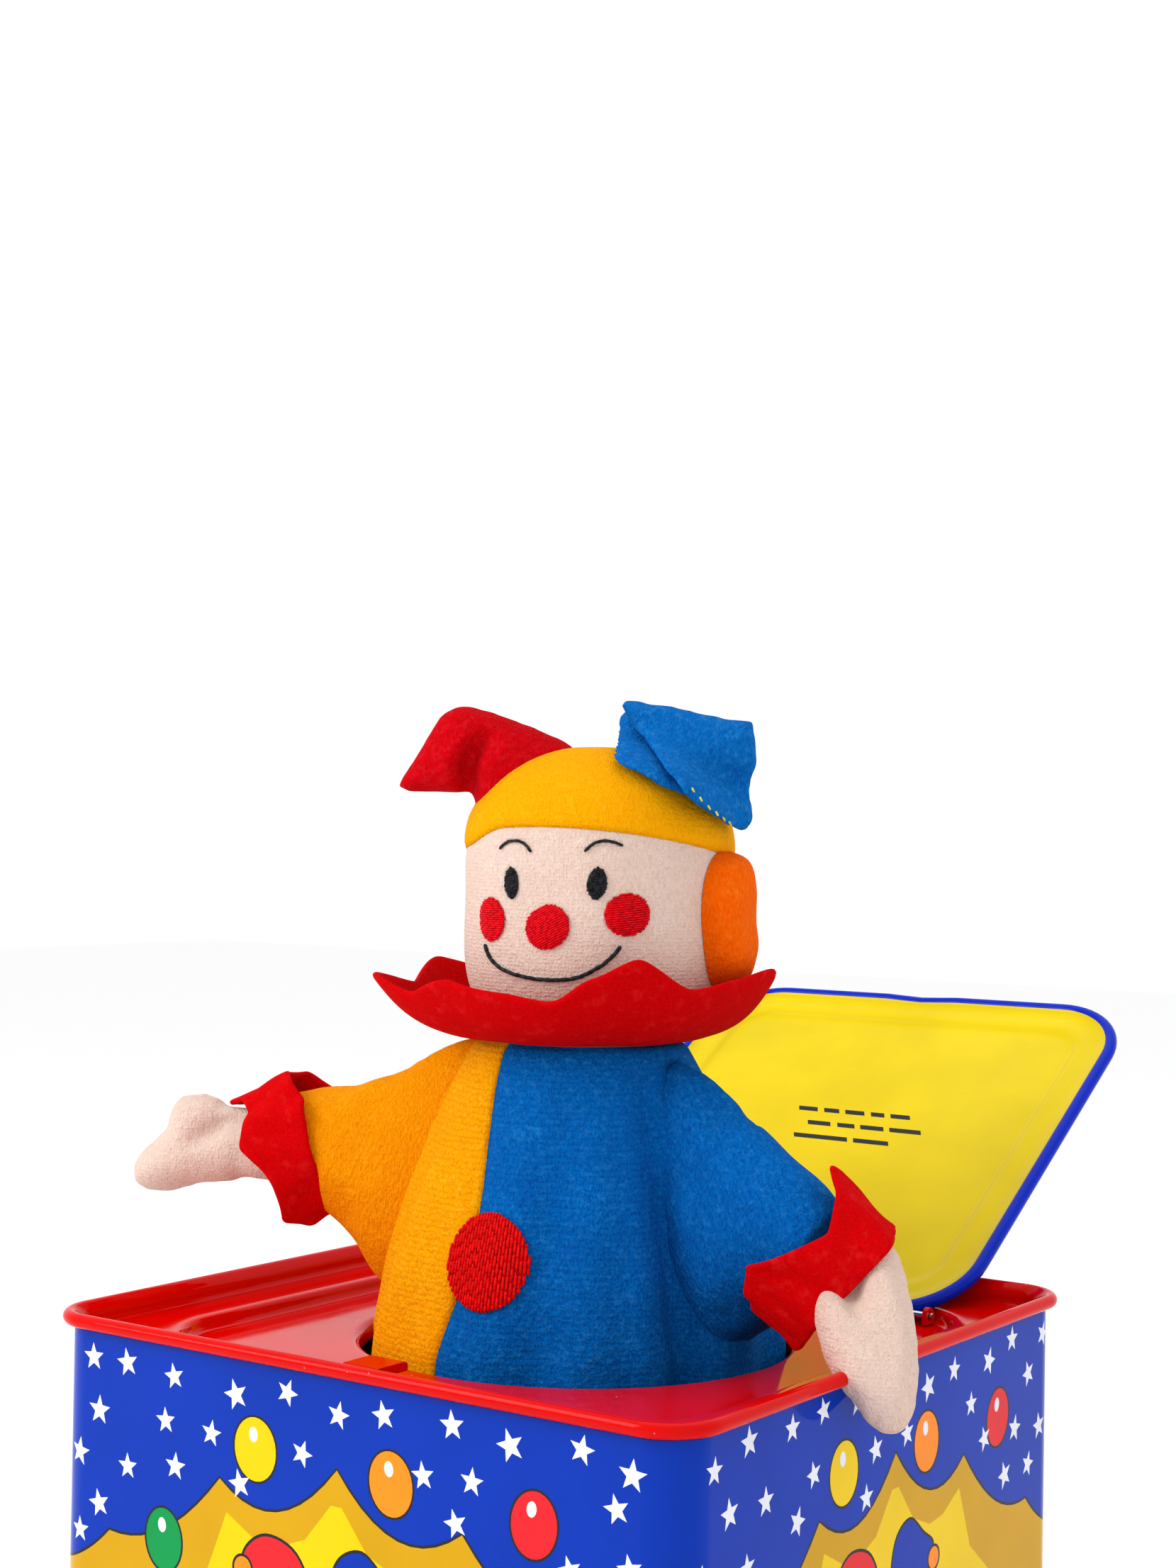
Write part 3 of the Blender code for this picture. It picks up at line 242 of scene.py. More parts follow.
BRASS = metal("brass", (0.83, 0.6, 0.24, 1), 0.24, (1, 1, 0.2))
NYLON = plain("white_nylon", "E6E4D8", 0.42, 700, 0.02)
BOARD = plain("grey_board", "8E8372", 0.9, 1500, 0.08)
KNOB_RED = plain("knob_red", "D01010", 0.22, 400, 0.01, coat=0.5)
YELLOW_CLOTH = fleece("yellow_fleece", "FFB400", "EE9200", "FFC828", marks=0.3)
BLUE_CLOTH = fleece("blue_fleece", "0072C6", "004C9E", "2C92E0", marks=0.3)
# a darker, more orange copy of the robe's yellow fleece: painted shade where the sleeve recedes from the
# light
SLEEVE_YELLOW_SHADED = fleece("yellow_sleeve_shaded", "FAA400", "F08C00", "FFB81C", turn=(0, 1.2, 0), marks=0.05)
SLEEVE_BLUE = fleece("blue_sleeve", "0072C6", "004C9E", "2C92E0", turn=(0, -0.9, 0), marks=0.25)
CAP_YELLOW = fleece("yellow_cap", "FCB000", "F5A000", "FFC020")
HORN_RED = fleece("red_fleece", "D60010", "B80008", "E22836", rows=2)
HORN_BLUE = fleece("blue_horn", "0B78CC", "0057A8", "3C98DE", turn=(0, 0.9, 0), marks=0.2)
ORANGE_HAIR = fleece("orange_fleece", "FF6E00", "F05600", "FF8820", rows=2)
RED_FELT = felt("red_felt", "DC0206", "B40004", "EA2C2C")
FLESH = fleece("flesh_knit", "ECD3C6", "DFC0B0", "F4E2D8", rows=0.7, marks=0.03)
BLACK_THREAD = thread("black_thread", "2E3034", "101114")
RED_THREAD = thread("red_thread", "E60416", "BC0010", 0.5)
BUTTON_THREAD = thread("button_thread", "E80404", "B80002", 0.5)
YELLOW_THREAD = thread("yellow_thread", "E8E040", "B8A820")

FINISH = {
    "red_tin": RED_TIN, "litho_tin": INK_BLUE, "lid_tin": LID_BLUE, "steel": STEEL, "brass": BRASS,
    "nylon": NYLON, "board": BOARD, "red_plastic": KNOB_RED, "yellow_cloth": YELLOW_CLOTH,
    "blue_cloth": BLUE_CLOTH, "red_felt": RED_FELT, "flesh_knit": FLESH, "orange_hair": ORANGE_HAIR,
    "black_thread": BLACK_THREAD, "red_thread": RED_THREAD,
}  # fmt: skip


def finish_cad_nodes():
    for subpart in frame["record"]["subparts"]:
        materials = frame["nodes"][subpart["node"]].data.materials
        if not materials:
            materials.append(None)
        for index in range(len(materials)):
            materials[index] = FINISH[subpart["material_slot"]]


# Mesh helpers


def piece(name, bm, mats, slot, replaced=(), body="doll", sharp=None, recalc=True):
    """An object from the mesh, riding on a body in place of the CAD nodes."""
    if recalc:
        bmesh.ops.recalc_face_normals(bm, faces=bm.faces)
    mesh = bpy.data.meshes.new(name)
    bm.to_mesh(mesh)
    bm.free()
    for mat in mats:
        mesh.materials.append(mat)
    mesh.shade_smooth()
    if sharp:
        mesh.set_sharp_from_angle(angle=radians(sharp))
    obj = bpy.data.objects.new(name, mesh)
    ROOT.objects.link(obj)
    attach(obj, body)
    if replaced:
        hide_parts(*replaced)
    return obj


def modifier(obj, kind, **settings):
    step = obj.modifiers.new(kind.lower(), kind)
    for key, value in settings.items():
        setattr(step, key, value)
    return step


def subdivide(obj):
    modifier(obj, "SUBSURF", levels=1, render_levels=1)


def loft(bm, rings, closed=False, caps=(False, False), mats=None):
    """Quads between rings of equal count; mats gives each band's material index."""
    rows = [[bm.verts.new(point) for point in ring] for ring in rings]
    for band, (low, high) in enumerate(zip(rows, rows[1:] + rows[:1] if closed else rows[1:])):
        for i in range(len(low)):
            j = (i + 1) % len(low)
            face = bm.faces.new((low[i], low[j], high[j], high[i]))
            if mats:
                face.material_index = mats[band]
    for end, row in zip(caps, (rows[0], rows[-1])):
        if end:
            bm.faces.new(row)


def skin(rows, count, point, caps=(False, False)):
    """A lofted mesh. point(share, angle) is a spot at that share of the way from first ring to last."""
    bm = bmesh.new()
    rings = [[point(row / rows, tau * k / count) for k in range(count)] for row in range(rows + 1)]
    loft(bm, rings, caps=caps)
    return bm


def smooth_line(points, per_step=6, closed=False):
    """Catmull-Rom through points of any size."""
    count = len(points)
    at = [Vector(p) for p in points]
    made = []
    for i in range(count if closed else count - 1):
        near = [(i + k) % count if closed else min(max(i + k, 0), count - 1) for k in (-1, 0, 1, 2)]
        a, b, c, d = (at[k] for k in near)
        for t in (k / per_step for k in range(per_step)):
            bend = (2 * a - 5 * b + 4 * c - d) * t * t + (3 * b - a - 3 * c + d) * t**3
            made.append(0.5 * (2 * b + (c - a) * t + bend))
    return made if closed else made + [at[-1]]


def rounded(points, share, steps):
    """Each inner corner of a line of tuples becomes a short curve."""
    made = [points[0]]
    for before, point, after in zip(points, points[1:], points[2:]):
        start = [p + (q - p) * share for p, q in zip(point, before)]
        end = [p + (q - p) * share for p, q in zip(point, after)]
        for t in (k / steps for k in range(steps + 1)):
            curve = ((1 - t) ** 2 * s + 2 * t * (1 - t) * p + t * t * e for s, p, e in zip(start, point, end))
            made.append(tuple(curve))
    return made + [points[-1]]


def square_ring(half, z, corner_at, side, centre_y=0.0):
    """A square with round corners, whose centres are at corner_at, round the Z axis or moved to centre_y."""
    half, z, corner_at, centre_y = half * MM, z * MM, corner_at * MM, centre_y * MM
    radius, arc = half - corner_at, 14
    points = []
    for quarter in range(4):
        turn = Matrix.Rotation(quarter * pi / 2, 3, "Z")
        angles = [pi / 2 * i / arc for i in range(arc + 1)]
        spots = [Vector((corner_at + radius * cos(a), corner_at + radius * sin(a), z)) for a in angles]
        spots += [Vector((corner_at * (1 - 2 * i / side), half, z)) for i in range(1, side)]
        points += [turn @ p for p in spots]
    return [p + Vector((0, centre_y, 0)) for p in points]


def bead_arc(first, last, count, centre_x, radius):
    angles = [radians(first + (last - first) * i / (count - 1)) for i in range(count)]
    return [(centre_x + radius * cos(a), radius * sin(a)) for a in angles]


def sides_of(outline):
    return zip(outline, outline[1:] + outline[:1])


def inside(point, outline):
    x, y = point
    hit = False
    for (x0, y0), (x1, y1) in sides_of(outline):
        if (y0 > y) != (y1 > y) and x < (x1 - x0) * (y - y0) / (y1 - y0) + x0:
            hit = not hit
    return hit


def edge_distance(point, outline):
    x, y = point
    best = 1e9
    for (x0, y0), (x1, y1) in sides_of(outline):
        dx, dy = x1 - x0, y1 - y0
        t = clamp(((x - x0) * dx + (y - y0) * dy) / max(dx * dx + dy * dy, 1e-12))
        best = min(best, hypot(x - x0 - t * dx, y - y0 - t * dy))
    return best


# Printed tin

BLUE, PALE, YELLOW, GOLD, BLACK, ORANGE, GREEN, RED, BARE = range(9)
INKS = (INK_BLUE, INK_PALE, INK_YELLOW, INK_GOLD, INK_BLACK, INK_ORANGE, INK_GREEN, INK_RED, BARE_TIN)
BODY_HALF, CORNER_AT = 70.4, 62.0
CORNER_R = BODY_HALF - CORNER_AT
SIDE_PITCH = 2 * CORNER_AT + CORNER_R * pi / 2
WALL_TOP, WALL_LOW = -1.75, -138.6
ART_HALF = 68.6


def circle(centre, rx, ry, count, tilt=0.0):
    made = []
    for a in (tau * i / count for i in range(count)):
        x, y = rx * cos(a), ry * sin(a)
        made.append((centre[0] + x * cos(tilt) - y * sin(tilt), centre[1] + x * sin(tilt) + y * cos(tilt)))
    return made


def star(centre, radius, tilt):
    made = []
    for i in range(10):
        a = tilt + pi / 2 + tau * i / 10
        r = radius if i % 2 == 0 else radius * 0.42
        made.append((centre[0] + r * cos(a), centre[1] + r * sin(a)))
    return made


def scallops(cusps, dips, steps=10):
    """A line through the cusps that hangs down in a round arc between each two."""
    made = []
    for (x0, z0), (x1, z1), dip in zip(cusps, cusps[1:], dips):
        for t in (k / steps for k in range(steps)):
            made.append((x0 + (x1 - x0) * t, z0 + (z1 - z0) * t - dip * 4 * t * (1 - t)))
    return made + [cusps[-1]]


def lifted(line, by):
    """The line moved by that much to its left-hand side."""
    made = []
    for i, (x, z) in enumerate(line):
        x0, z0 = line[max(i - 1, 0)]
        x1, z1 = line[min(i + 1, len(line) - 1)]
        run = max(hypot(x1 - x0, z1 - z0), 1e-9)
        made.append((x - (z1 - z0) / run * by, z + (x1 - x0) / run * by))
    return made


def balloon(x, z, rx, ry, tilt, ink):
    edge, body = circle((x, z), rx + 0.45, ry + 0.45, 30, tilt), circle((x, z), rx, ry, 30, tilt)
    shine = circle((x - 0.5, z + ry * 0.45), 1.0, 1.35, 14, tilt)
    return [(edge, BLACK), (body, ink), (shine, PALE)]


def cap_lobe(points, ink):
    """A soft lobe of the printed cap, with its black outline."""
    line = [tuple(p) for p in smooth_line(points, closed=True)]
    middle = Vector((sum(p[0] for p in line) / len(line), sum(p[1] for p in line) / len(line)))
    wide = [tuple(Vector(p) + (Vector(p) - middle).normalized() * 0.55) for p in line]
    return [(wide, BLACK), (line, ink)]


def curtain(edge):
    """The scalloped curtain under the sky, its lit middle and its folds."""
    low = [(ART_HALF, -128), (-ART_HALF, -128)]
    middle = [(-62, -128), (-50, -56), (-30.5, -41), (-25.6, -29), (-19, -32.4), (-13.7, -33), (-7, -30.4)]
    middle += [(-1.2, -23.5), (1.2, -23.5), (7, -30.4), (13.7, -33), (19, -32.4), (25.6, -29), (30.5, -41)]
    middle += [(50, -56), (62, -128)]
    art = [(lifted(edge, 0.5) + low, BLACK), (edge + low, GOLD), (middle, YELLOW)]
    for x, lean in ((-44, -5), (-30, -3), (30, 3), (44, 5)):
        fold = [(x - 1.6, -128), (x + lean * 0.3, -62), (x + lean * 0.8, -50), (x + lean * 0.3 + 1.2, -62)]
        art.append((fold + [(x + 2.2, -128)], GOLD))
    return art


def jester_cap():
    red = [(-21, -35), (-16, -31.5), (-9, -33.5), (-5.5, -41), (-8, -50), (-13, -52), (-15, -44), (-21, -41)]
    blue = [(-1, -38), (1, -32.5), (6, -30.5), (11, -34), (15, -37), (12, -42), (8, -46), (4, -52), (-1, -47)]
    brim = [(-14, -55), (-6, -49), (2, -49), (9, -55), (7, -60), (-3, -58.5), (-12, -60)]
    art = cap_lobe(red, RED) + cap_lobe(blue, BLUE) + cap_lobe(brim, YELLOW)
    for spot in ((-21.5, -38), (15.4, -39.5)):
        art += [(circle(spot, 2.5, 2.5, 28), BLACK), (circle(spot, 2.0, 2.0, 28), ORANGE)]
    return art


def sky_stars(rolls, ground):
    """Stars scattered on a loose grid, clear of the ground's outline, the balloons and each other."""
    art = []
    taken = [(x, z, 6.4) for x, z in ((-19, -16.8), (12, -17.6), (42, -19), (-41, -36.6))]
    step = 12.4
    for row in range(5):
        for column in range(-6, 7):
            x = column * step + (row % 2) * step / 2 + rolls.uniform(-2.4, 2.4)
            z = -6.2 - row * 8.6 + rolls.uniform(-1.9, 1.9)
            tips = ((x, z - 2.4), (x - 2, z - 1), (x + 2, z - 1))
            if abs(x) > 65.5 or any(inside(tip, ground) for tip in tips):
                continue
            if any(hypot(x - a, z - b) < gap for a, b, gap in taken):
                continue
            taken.append((x, z, 6.5))
            art.append((star((x, z), rolls.uniform(2.45, 2.9), rolls.uniform(-0.35, 0.35)), PALE))
    return art


def side_art(seed):
    """One side's print, in millimetres from its middle and from the rim: a sky of stars, a scalloped curtain,
    balloons, a plain jester's cap, and harlequin diamonds along the foot."""
    cusps = [(-ART_HALF, -45), (-55, -37.5), (-27.4, -23.3), (0, -17.3), (27.4, -23.3), (55, -37.5)]
    edge = scallops([*cusps, (ART_HALF, -45)], [1.5, 4.5, 6.6, 6.6, 4.5, 1.5])
    art = curtain(edge) + jester_cap()
    lower = [(-30, -72, BLUE), (-12, -80, RED), (8, -74, GREEN), (27, -82, ORANGE)]
    lower += [(-2, -97, BLUE), (-24, -100, GREEN), (21, -103, RED)]
    for index, (x, z, ink) in enumerate(lower):
        art += balloon(x, z, 5.6, 6.4, 0.2 * (index % 3 - 1), ink)
    art += balloon(-19, -16.8, 4.9, 5.6, 0.12, YELLOW) + balloon(12, -17.6, 4.7, 5.5, 0.16, ORANGE)
    art += balloon(-41, -36.6, 4.4, 5.6, 0.12, GREEN) + balloon(42, -19, 4.6, 5.5, -0.15, RED)
    top, middle, low, half = -112.2, -124.7, -137.2, ART_HALF / 8
    for line, ink in ((0.6, BLACK), (0, RED)):
        outline = [(-1, top + line), (1, top + line), (1, low - line), (-1, low - line)]
        art.append(([(x * ART_HALF, z) for x, z in outline], ink))
    for i in range(8):
        x = -ART_HALF + half * (2 * i + 1)
        outline = [(x, top), (x + half, middle), (x, low), (x - half, middle)]
        art.append((outline, (YELLOW, BLUE, ORANGE, GREEN)[i % 4]))
    return art + sky_stars(random.Random(seed), edge + [(ART_HALF, -128), (-ART_HALF, -128)])


def printed(bm, place, base, shapes, lines=(), holes=()):
    """Paints the shapes over the base outline as faces of one sheet; its own ink is the first material.

    place maps a flat point to space, the lines only divide the faces, and the holes have none.
    """
    layers = [(base, BLUE), *shapes, *((hole, None) for hole in holes)]
    points, edges = [], []
    for outline, _ in layers:
        first = len(points)
        points.extend(Vector(p) for p in outline)
        edges += [(first + i, first + (i + 1) % len(outline)) for i in range(len(outline))]
    for line in lines:
        edges.append((len(points), len(points) + 1))
        points.extend(Vector(p) for p in line)
    boxed = []
    for outline, ink in reversed(layers):
        xs, ys = [p[0] for p in outline], [p[1] for p in outline]
        boxed.append((min(xs), max(xs), min(ys), max(ys), outline, ink))
    flat, _, tris, _, _, _ = delaunay_2d_cdt(points, edges, [], 0, 1e-4)
    verts = [bm.verts.new(place(*p)) for p in flat]
    for tri in tris:
        x, y = sum((flat[i] for i in tri), Vector((0, 0))) / 3
        for left, right, low, high, outline, ink in boxed:
            if left < x < right and low < y < high and inside((x, y), outline):
                if ink is not None:
                    bm.faces.new([verts[i] for i in tri]).material_index = ink
                break
    for vert in [v for v in verts if not v.link_faces]:
        bm.verts.remove(vert)


def wall_point(u, z):
    """A point of the wall from the distance round it, in millimetres from the middle of the front."""
    side = round(u / SIDE_PITCH)
    along = u - side * SIDE_PITCH
    if abs(along) <= CORNER_AT:
        flat = Vector((along, -BODY_HALF, z))
    else:
        a = (abs(along) - CORNER_AT) / CORNER_R
        flat = Vector((CORNER_AT + CORNER_R * sin(a), -CORNER_AT - CORNER_R * cos(a), z))
        if along < 0:
            flat.x = -flat.x
    return over_rim(*(Matrix.Rotation(side * pi / 2, 3, "Z") @ flat))


def make_wall():
    """The four printed sides in one sheet, with a bare inner face and the right side's holes."""
    bm = bmesh.new()
    half = SIDE_PITCH / 2
    base = [(-half, WALL_LOW), (half, WALL_LOW), (half, WALL_TOP), (-half, WALL_TOP)]
    bends = [CORNER_AT + (half - CORNER_AT) * k / 8 for k in range(9)]
    lines = [((x * sign, WALL_LOW), (x * sign, WALL_TOP)) for x in bends for sign in (1, -1)]
    for side in range(4):
        shapes = [
            ([(min(max(x, -half), half), min(max(z, WALL_LOW), WALL_TOP)) for x, z in outline], ink)
            for outline, ink in side_art(11 + side)
        ]
        holes = []
        if side == 1:
            holes.append(circle((0, 66 - RIM), 4.2, 4.2, 24))
            holes += [circle((y, z - RIM), 1.5, 1.5, 14) for y in (-15, 15) for z in (28, 80)]
        printed(bm, lambda x, z, c=side * SIDE_PITCH: wall_point(c + x, z), base, shapes, lines, holes)
    bmesh.ops.remove_doubles(bm, verts=bm.verts, dist=2e-6)
    inner = [square_ring(BODY_HALF - 0.6, RIM + z, CORNER_AT, 10) for z in (WALL_LOW, WALL_TOP)]
    loft(bm, inner, mats=[BARE])
    for face in bm.faces:
        face.normal_update()
        centre = face.calc_center_median()
        inwards = face.normal.dot(Vector((centre.x, centre.y, 0))) < 0
        if inwards != (face.material_index == BARE):
            face.normal_flip()
    wall = piece("box_print", bm, INKS, "litho_tin", ("box_wall",), "box", recalc=False)
    normals = []
    for vert in wall.data.vertices:
        x, y = vert.co.x / MM, vert.co.y / MM
        out = Vector((x - min(max(x, -CORNER_AT), CORNER_AT), y - min(max(y, -CORNER_AT), CORNER_AT)))
        if abs(abs(x) - BODY_HALF) < 0.02:
            out = Vector((x, 0))
        elif abs(abs(y) - BODY_HALF) < 0.02:
            out = Vector((0, y))
        is_inner = max(abs(x), abs(y)) < BODY_HALF - 0.3 and hypot(*out) < CORNER_R - 0.3
        normals.append(Vector((out.x, out.y, 0)).normalized() * (-1 if is_inner else 1))
    wall.data.normals_split_custom_set_from_vertices(normals)


def make_tray():
    """One pressed sheet: rolled rim, wall, shelf, the lowered floor for the lid, and the well's lip."""
    shelf, floor = -3.2, -6.0
    half, recess, recess_at, well = 68.95, 58.7, 41.2, 41.9
    line = [(x, z, CORNER_AT) for x, z in bead_arc(-75, 150, 15, 71.3, 1.35)]
    outer_steps = [(half + 0.25, -0.1), (half, -1.0), (half, shelf + 0.8), (half - 0.9, shelf)]
    inner_steps = [(recess + 1.5, shelf), (recess + 0.2, shelf - 0.4), (recess - 0.2, floor + 0.7)]
    inner_steps += [(recess - 1.3, floor), (recess - 3.4, floor)]
    steps = [(*step, CORNER_AT) for step in outer_steps] + [(*step, recess_at) for step in inner_steps]
    line += rounded(steps, 0.42, 4)
    under = [(recess - 0.4, floor - 0.7, recess_at), (recess + 0.6, floor, recess_at)]
    under += [(recess + 0.9, shelf - 0.7, recess_at), (half + 0.2, shelf - 0.7, CORNER_AT)]
    under += [(half + 0.6, shelf, CORNER_AT), (half + 0.6, -1.5, CORNER_AT), (70.7, -0.75, CORNER_AT)]
    rings = [square_ring(h, RIM + z, at, 24) for h, z, at in line]
    directions = [p.xy.normalized() for p in rings[-1]]
    lip = rounded([(well + 3, floor), (well + 1.2, floor), (well, floor - 1.0), (well, floor - 3.2)], 0.45, 4)
    lip += [(well + 0.7, floor - 3.2), (well + 0.7, floor - 1.4), (well + 2.1, floor - 0.7)]
    rings += [[over_rim(*(p * radius), z) for p in directions] for radius, z in lip]
    rings += [square_ring(h, RIM + z, at, 24) for h, z, at in under]
    bm = bmesh.new()
    loft(bm, rings, closed=True)
    tray = piece("tray_pressing", bm, (RED_TIN,), "red_tin", ("top_tray",), "box")
    cut = bmesh.new()
    size = Matrix.Diagonal((9.4 * MM, 5 * MM, 6 * MM, 1))
    bmesh.ops.create_cube(cut, size=1, matrix=Matrix.Translation(over_rim(0, -64.3, shelf)) @ size)
    data = bpy.data.meshes.new("slot")
    cut.to_mesh(data)
    cut.free()
    slot = bpy.data.objects.new("slot", data)
    ROOT.objects.link(slot)
    modifier(tray, "BOOLEAN", operation="DIFFERENCE", object=slot)
    bake(tray)
    tray.data.set_sharp_from_angle(angle=radians(50))
    bpy.data.objects.remove(slot)


LID_HALF, LID_BEAD_R, LID_CORNER_R = 55.7, 1.4, 18.5
LID_BEAD_AT = LID_HALF - LID_BEAD_R
LID_SHEET, LID_RISE = 0.35, 1.2
LID_OPEN = Matrix.Translation(over_rim(0, 53, -4)) @ Matrix.Rotation(-radians(149), 4, "X")


def onto_lid(height):
    """Maps a flat spot from the lid's middle to space on the open lid."""
    return lambda x, y: LID_OPEN @ (Vector((x, y - LID_BEAD_AT, height)) * MM)


def make_lid():
    """Rolled edge, a flat margin and a shallow raised panel; blue outside, yellow inside."""
    panel, margin = 46.5, LID_BEAD_AT - 1.5
    outer_z, inner_z = LID_SHEET + LID_RISE, LID_RISE - LID_SHEET
    outer = [(panel - 5, outer_z), (panel - 1.7, outer_z), (panel - 0.1, LID_SHEET), (margin, LID_SHEET)]
    inner = [(margin, -LID_SHEET), (panel + 0.1, -LID_SHEET), (panel - 1.5, inner_z), (panel - 5, inner_z)]
    bead = bead_arc(140, -140, 17, LID_BEAD_AT, LID_BEAD_R)
    outer, inner = rounded(outer, 0.4, 3), rounded(inner, 0.4, 3)
    corner_at = LID_HALF - LID_CORNER_R
    rings = [square_ring(h, z, corner_at, 16, -LID_BEAD_AT) for h, z in outer + bead + inner]
    finger = 9 * MM
    for point in (p for ring in rings for p in ring):
        if point.y < -(2 * LID_BEAD_AT - 2.4) * MM and abs(point.x) < finger:
            dent = 0.5 * (1 - (point.x / finger) ** 2) ** 2
            point.z *= 1 - 0.45 * dent
            point.y += 0.9 * MM * dent * (0.5 + 0.5 * cos(point.x / MM * 1.4))
    bm = bmesh.new()
    blue, yellow, pale = range(3)
    mats = [blue] * (len(outer) + len(bead) - 1) + [yellow] * len(inner)
    loft(bm, [[LID_OPEN @ p for p in ring] for ring in rings], mats=mats)
    edge, inner_edge = ([(p.x / MM, p.y / MM + LID_BEAD_AT) for p in ring] for ring in (rings[0], rings[-1]))
    rolls = random.Random(5)
    art = [([(x * s, y * s) for x, y in edge], ink) for s, ink in ((0.97, yellow), (0.93, blue))]
    for row in range(-4, 5):
        for column in range(-4, 5):
            x = column * 9.6 + (row % 2) * 4.8 + rolls.uniform(-1.3, 1.3)
            y = row * 8.6 + rolls.uniform(-1.3, 1.3)
            if max(abs(x), abs(y)) < 34:
                art.append((star((x, y), rolls.uniform(2.3, 2.8), rolls.uniform(-0.4, 0.4)), pale))
    printed(bm, onto_lid(outer_z), edge, art)
    printed(bm, onto_lid(inner_z), inner_edge, [(inner_edge, yellow)])
    bmesh.ops.remove_doubles(bm, verts=bm.verts, dist=2e-6)
    piece("lid_pressing", bm, (LID_BLUE, LID_YELLOW, INK_PALE), "lid_tin", ("lid",), "lid", sharp=60)


def make_lid_note():
    """Three rows of plain slanted dashes in place of the printed note."""
    rolls = random.Random(3)
    bm = bmesh.new()
    onto = onto_lid(LID_RISE - LID_SHEET - 0.05)
    tall, lean = 1.5, 0.8
    rows = ((-17, (5, 3.5, 5, 4, 5)), (-22, (8, 6, 4.5, 6)), (-16, (9, 14)))
    for row, (x, lengths) in enumerate(rows):
        y = 8.6 - row * 5.0
        for length in lengths:
            corners = [(x, y), (x + length, y), (x + length + lean, y + tall), (x + lean, y + tall)]
            bm.faces.new([bm.verts.new(onto(-a, -b)) for a, b in corners])
            x += length + 1.5 + rolls.uniform(0, 0.4)
    piece("lid_note", bm, (INK_BLACK,), "lid_tin", body="lid", recalc=False)


# Doll

HEAD_AT = over_rim(2.5, 1.7, 81.5)
HEAD_R, HEAD_TALL = 26.0, 26.4
HEAD_TURN = radians(14)


def wrapped(degrees):
    return (degrees + 180) % 360 - 180


def wobble(point, scale, depth):
    return noise.noise(Vector(point) * scale) * depth


def head_radius(rise):
    power = 2.6 if rise > 0 else 5
    return HEAD_R * (1 - min(abs(rise) / HEAD_TALL, 1.0) ** power) ** (1 / power)


def head_point(azimuth, rise):
    """A spot on the stuffed head: azimuth from the nose to the doll's left, rise over the head's middle."""
    a, radius = HEAD_TURN + azimuth, head_radius(rise)
    spot = Vector((radius * sin(a), -radius * cos(a), rise))
    grow = 1 + wobble(spot, 0.07, 0.7 / HEAD_R)
    return HEAD_AT + Vector((spot.x * grow, spot.y * grow, rise)) * MM


def head_normal(azimuth, rise):
    a = head_point(azimuth + 0.02, rise) - head_point(azimuth - 0.02, rise)
    b = head_point(azimuth, rise + 0.4) - head_point(azimuth, rise - 0.4)
    normal = a.cross(b).normalized()
    return normal if normal.dot(head_point(azimuth, rise) - HEAD_AT) > 0 else -normal


def off_head(azimuth, rise, out):
    return head_point(azimuth, rise) + head_normal(azimuth, rise) * (out * MM)


def make_head():
    def point(share, azimuth):
        return head_point(azimuth, HEAD_TALL * sin(pi * (share - 0.5)) * 0.9995)

    head = piece("head_stuffed", skin(63, 96, point, (True, True)), (FLESH,), "flesh_knit", ("head",))
    return head


def brim_rise(azimuth):
    drop = clamp((-27 - wrapped(azimuth * 180 / pi)) / 26) if sin(azimuth) < 0 else 0.0
    dip = 2.9 * drop * drop * (3 - 2 * drop) * cos(azimuth / 2) ** 2
    return 12.0 - 4.6 * (1 - cos(azimuth + radians(5))) - dip


def make_cap(head):
    """The cap's crown, a fleece panel that is sewn to the head along its brim."""

    def point(share, azimuth):
        low = brim_rise(azimuth)
        rise = low + (HEAD_TALL - low) * sin(share * pi / 2)
        normal = UP if share > 0.97 else head_normal(azimuth, min(rise, HEAD_TALL * 0.97))
        out = 0.15 + 1.3 * min(1.0, share * 5) ** 0.5
        return head_point(azimuth, min(rise, HEAD_TALL * 0.9995)) + normal * (out * MM)

    bm = skin(25, 96, point, (False, True))
    cap = piece("cap_panel", bm, (CAP_YELLOW,), "yellow_cloth", ("cap_crown",))
    modifier(cap, "SOLIDIFY", thickness=0.9 * MM, offset=-1)


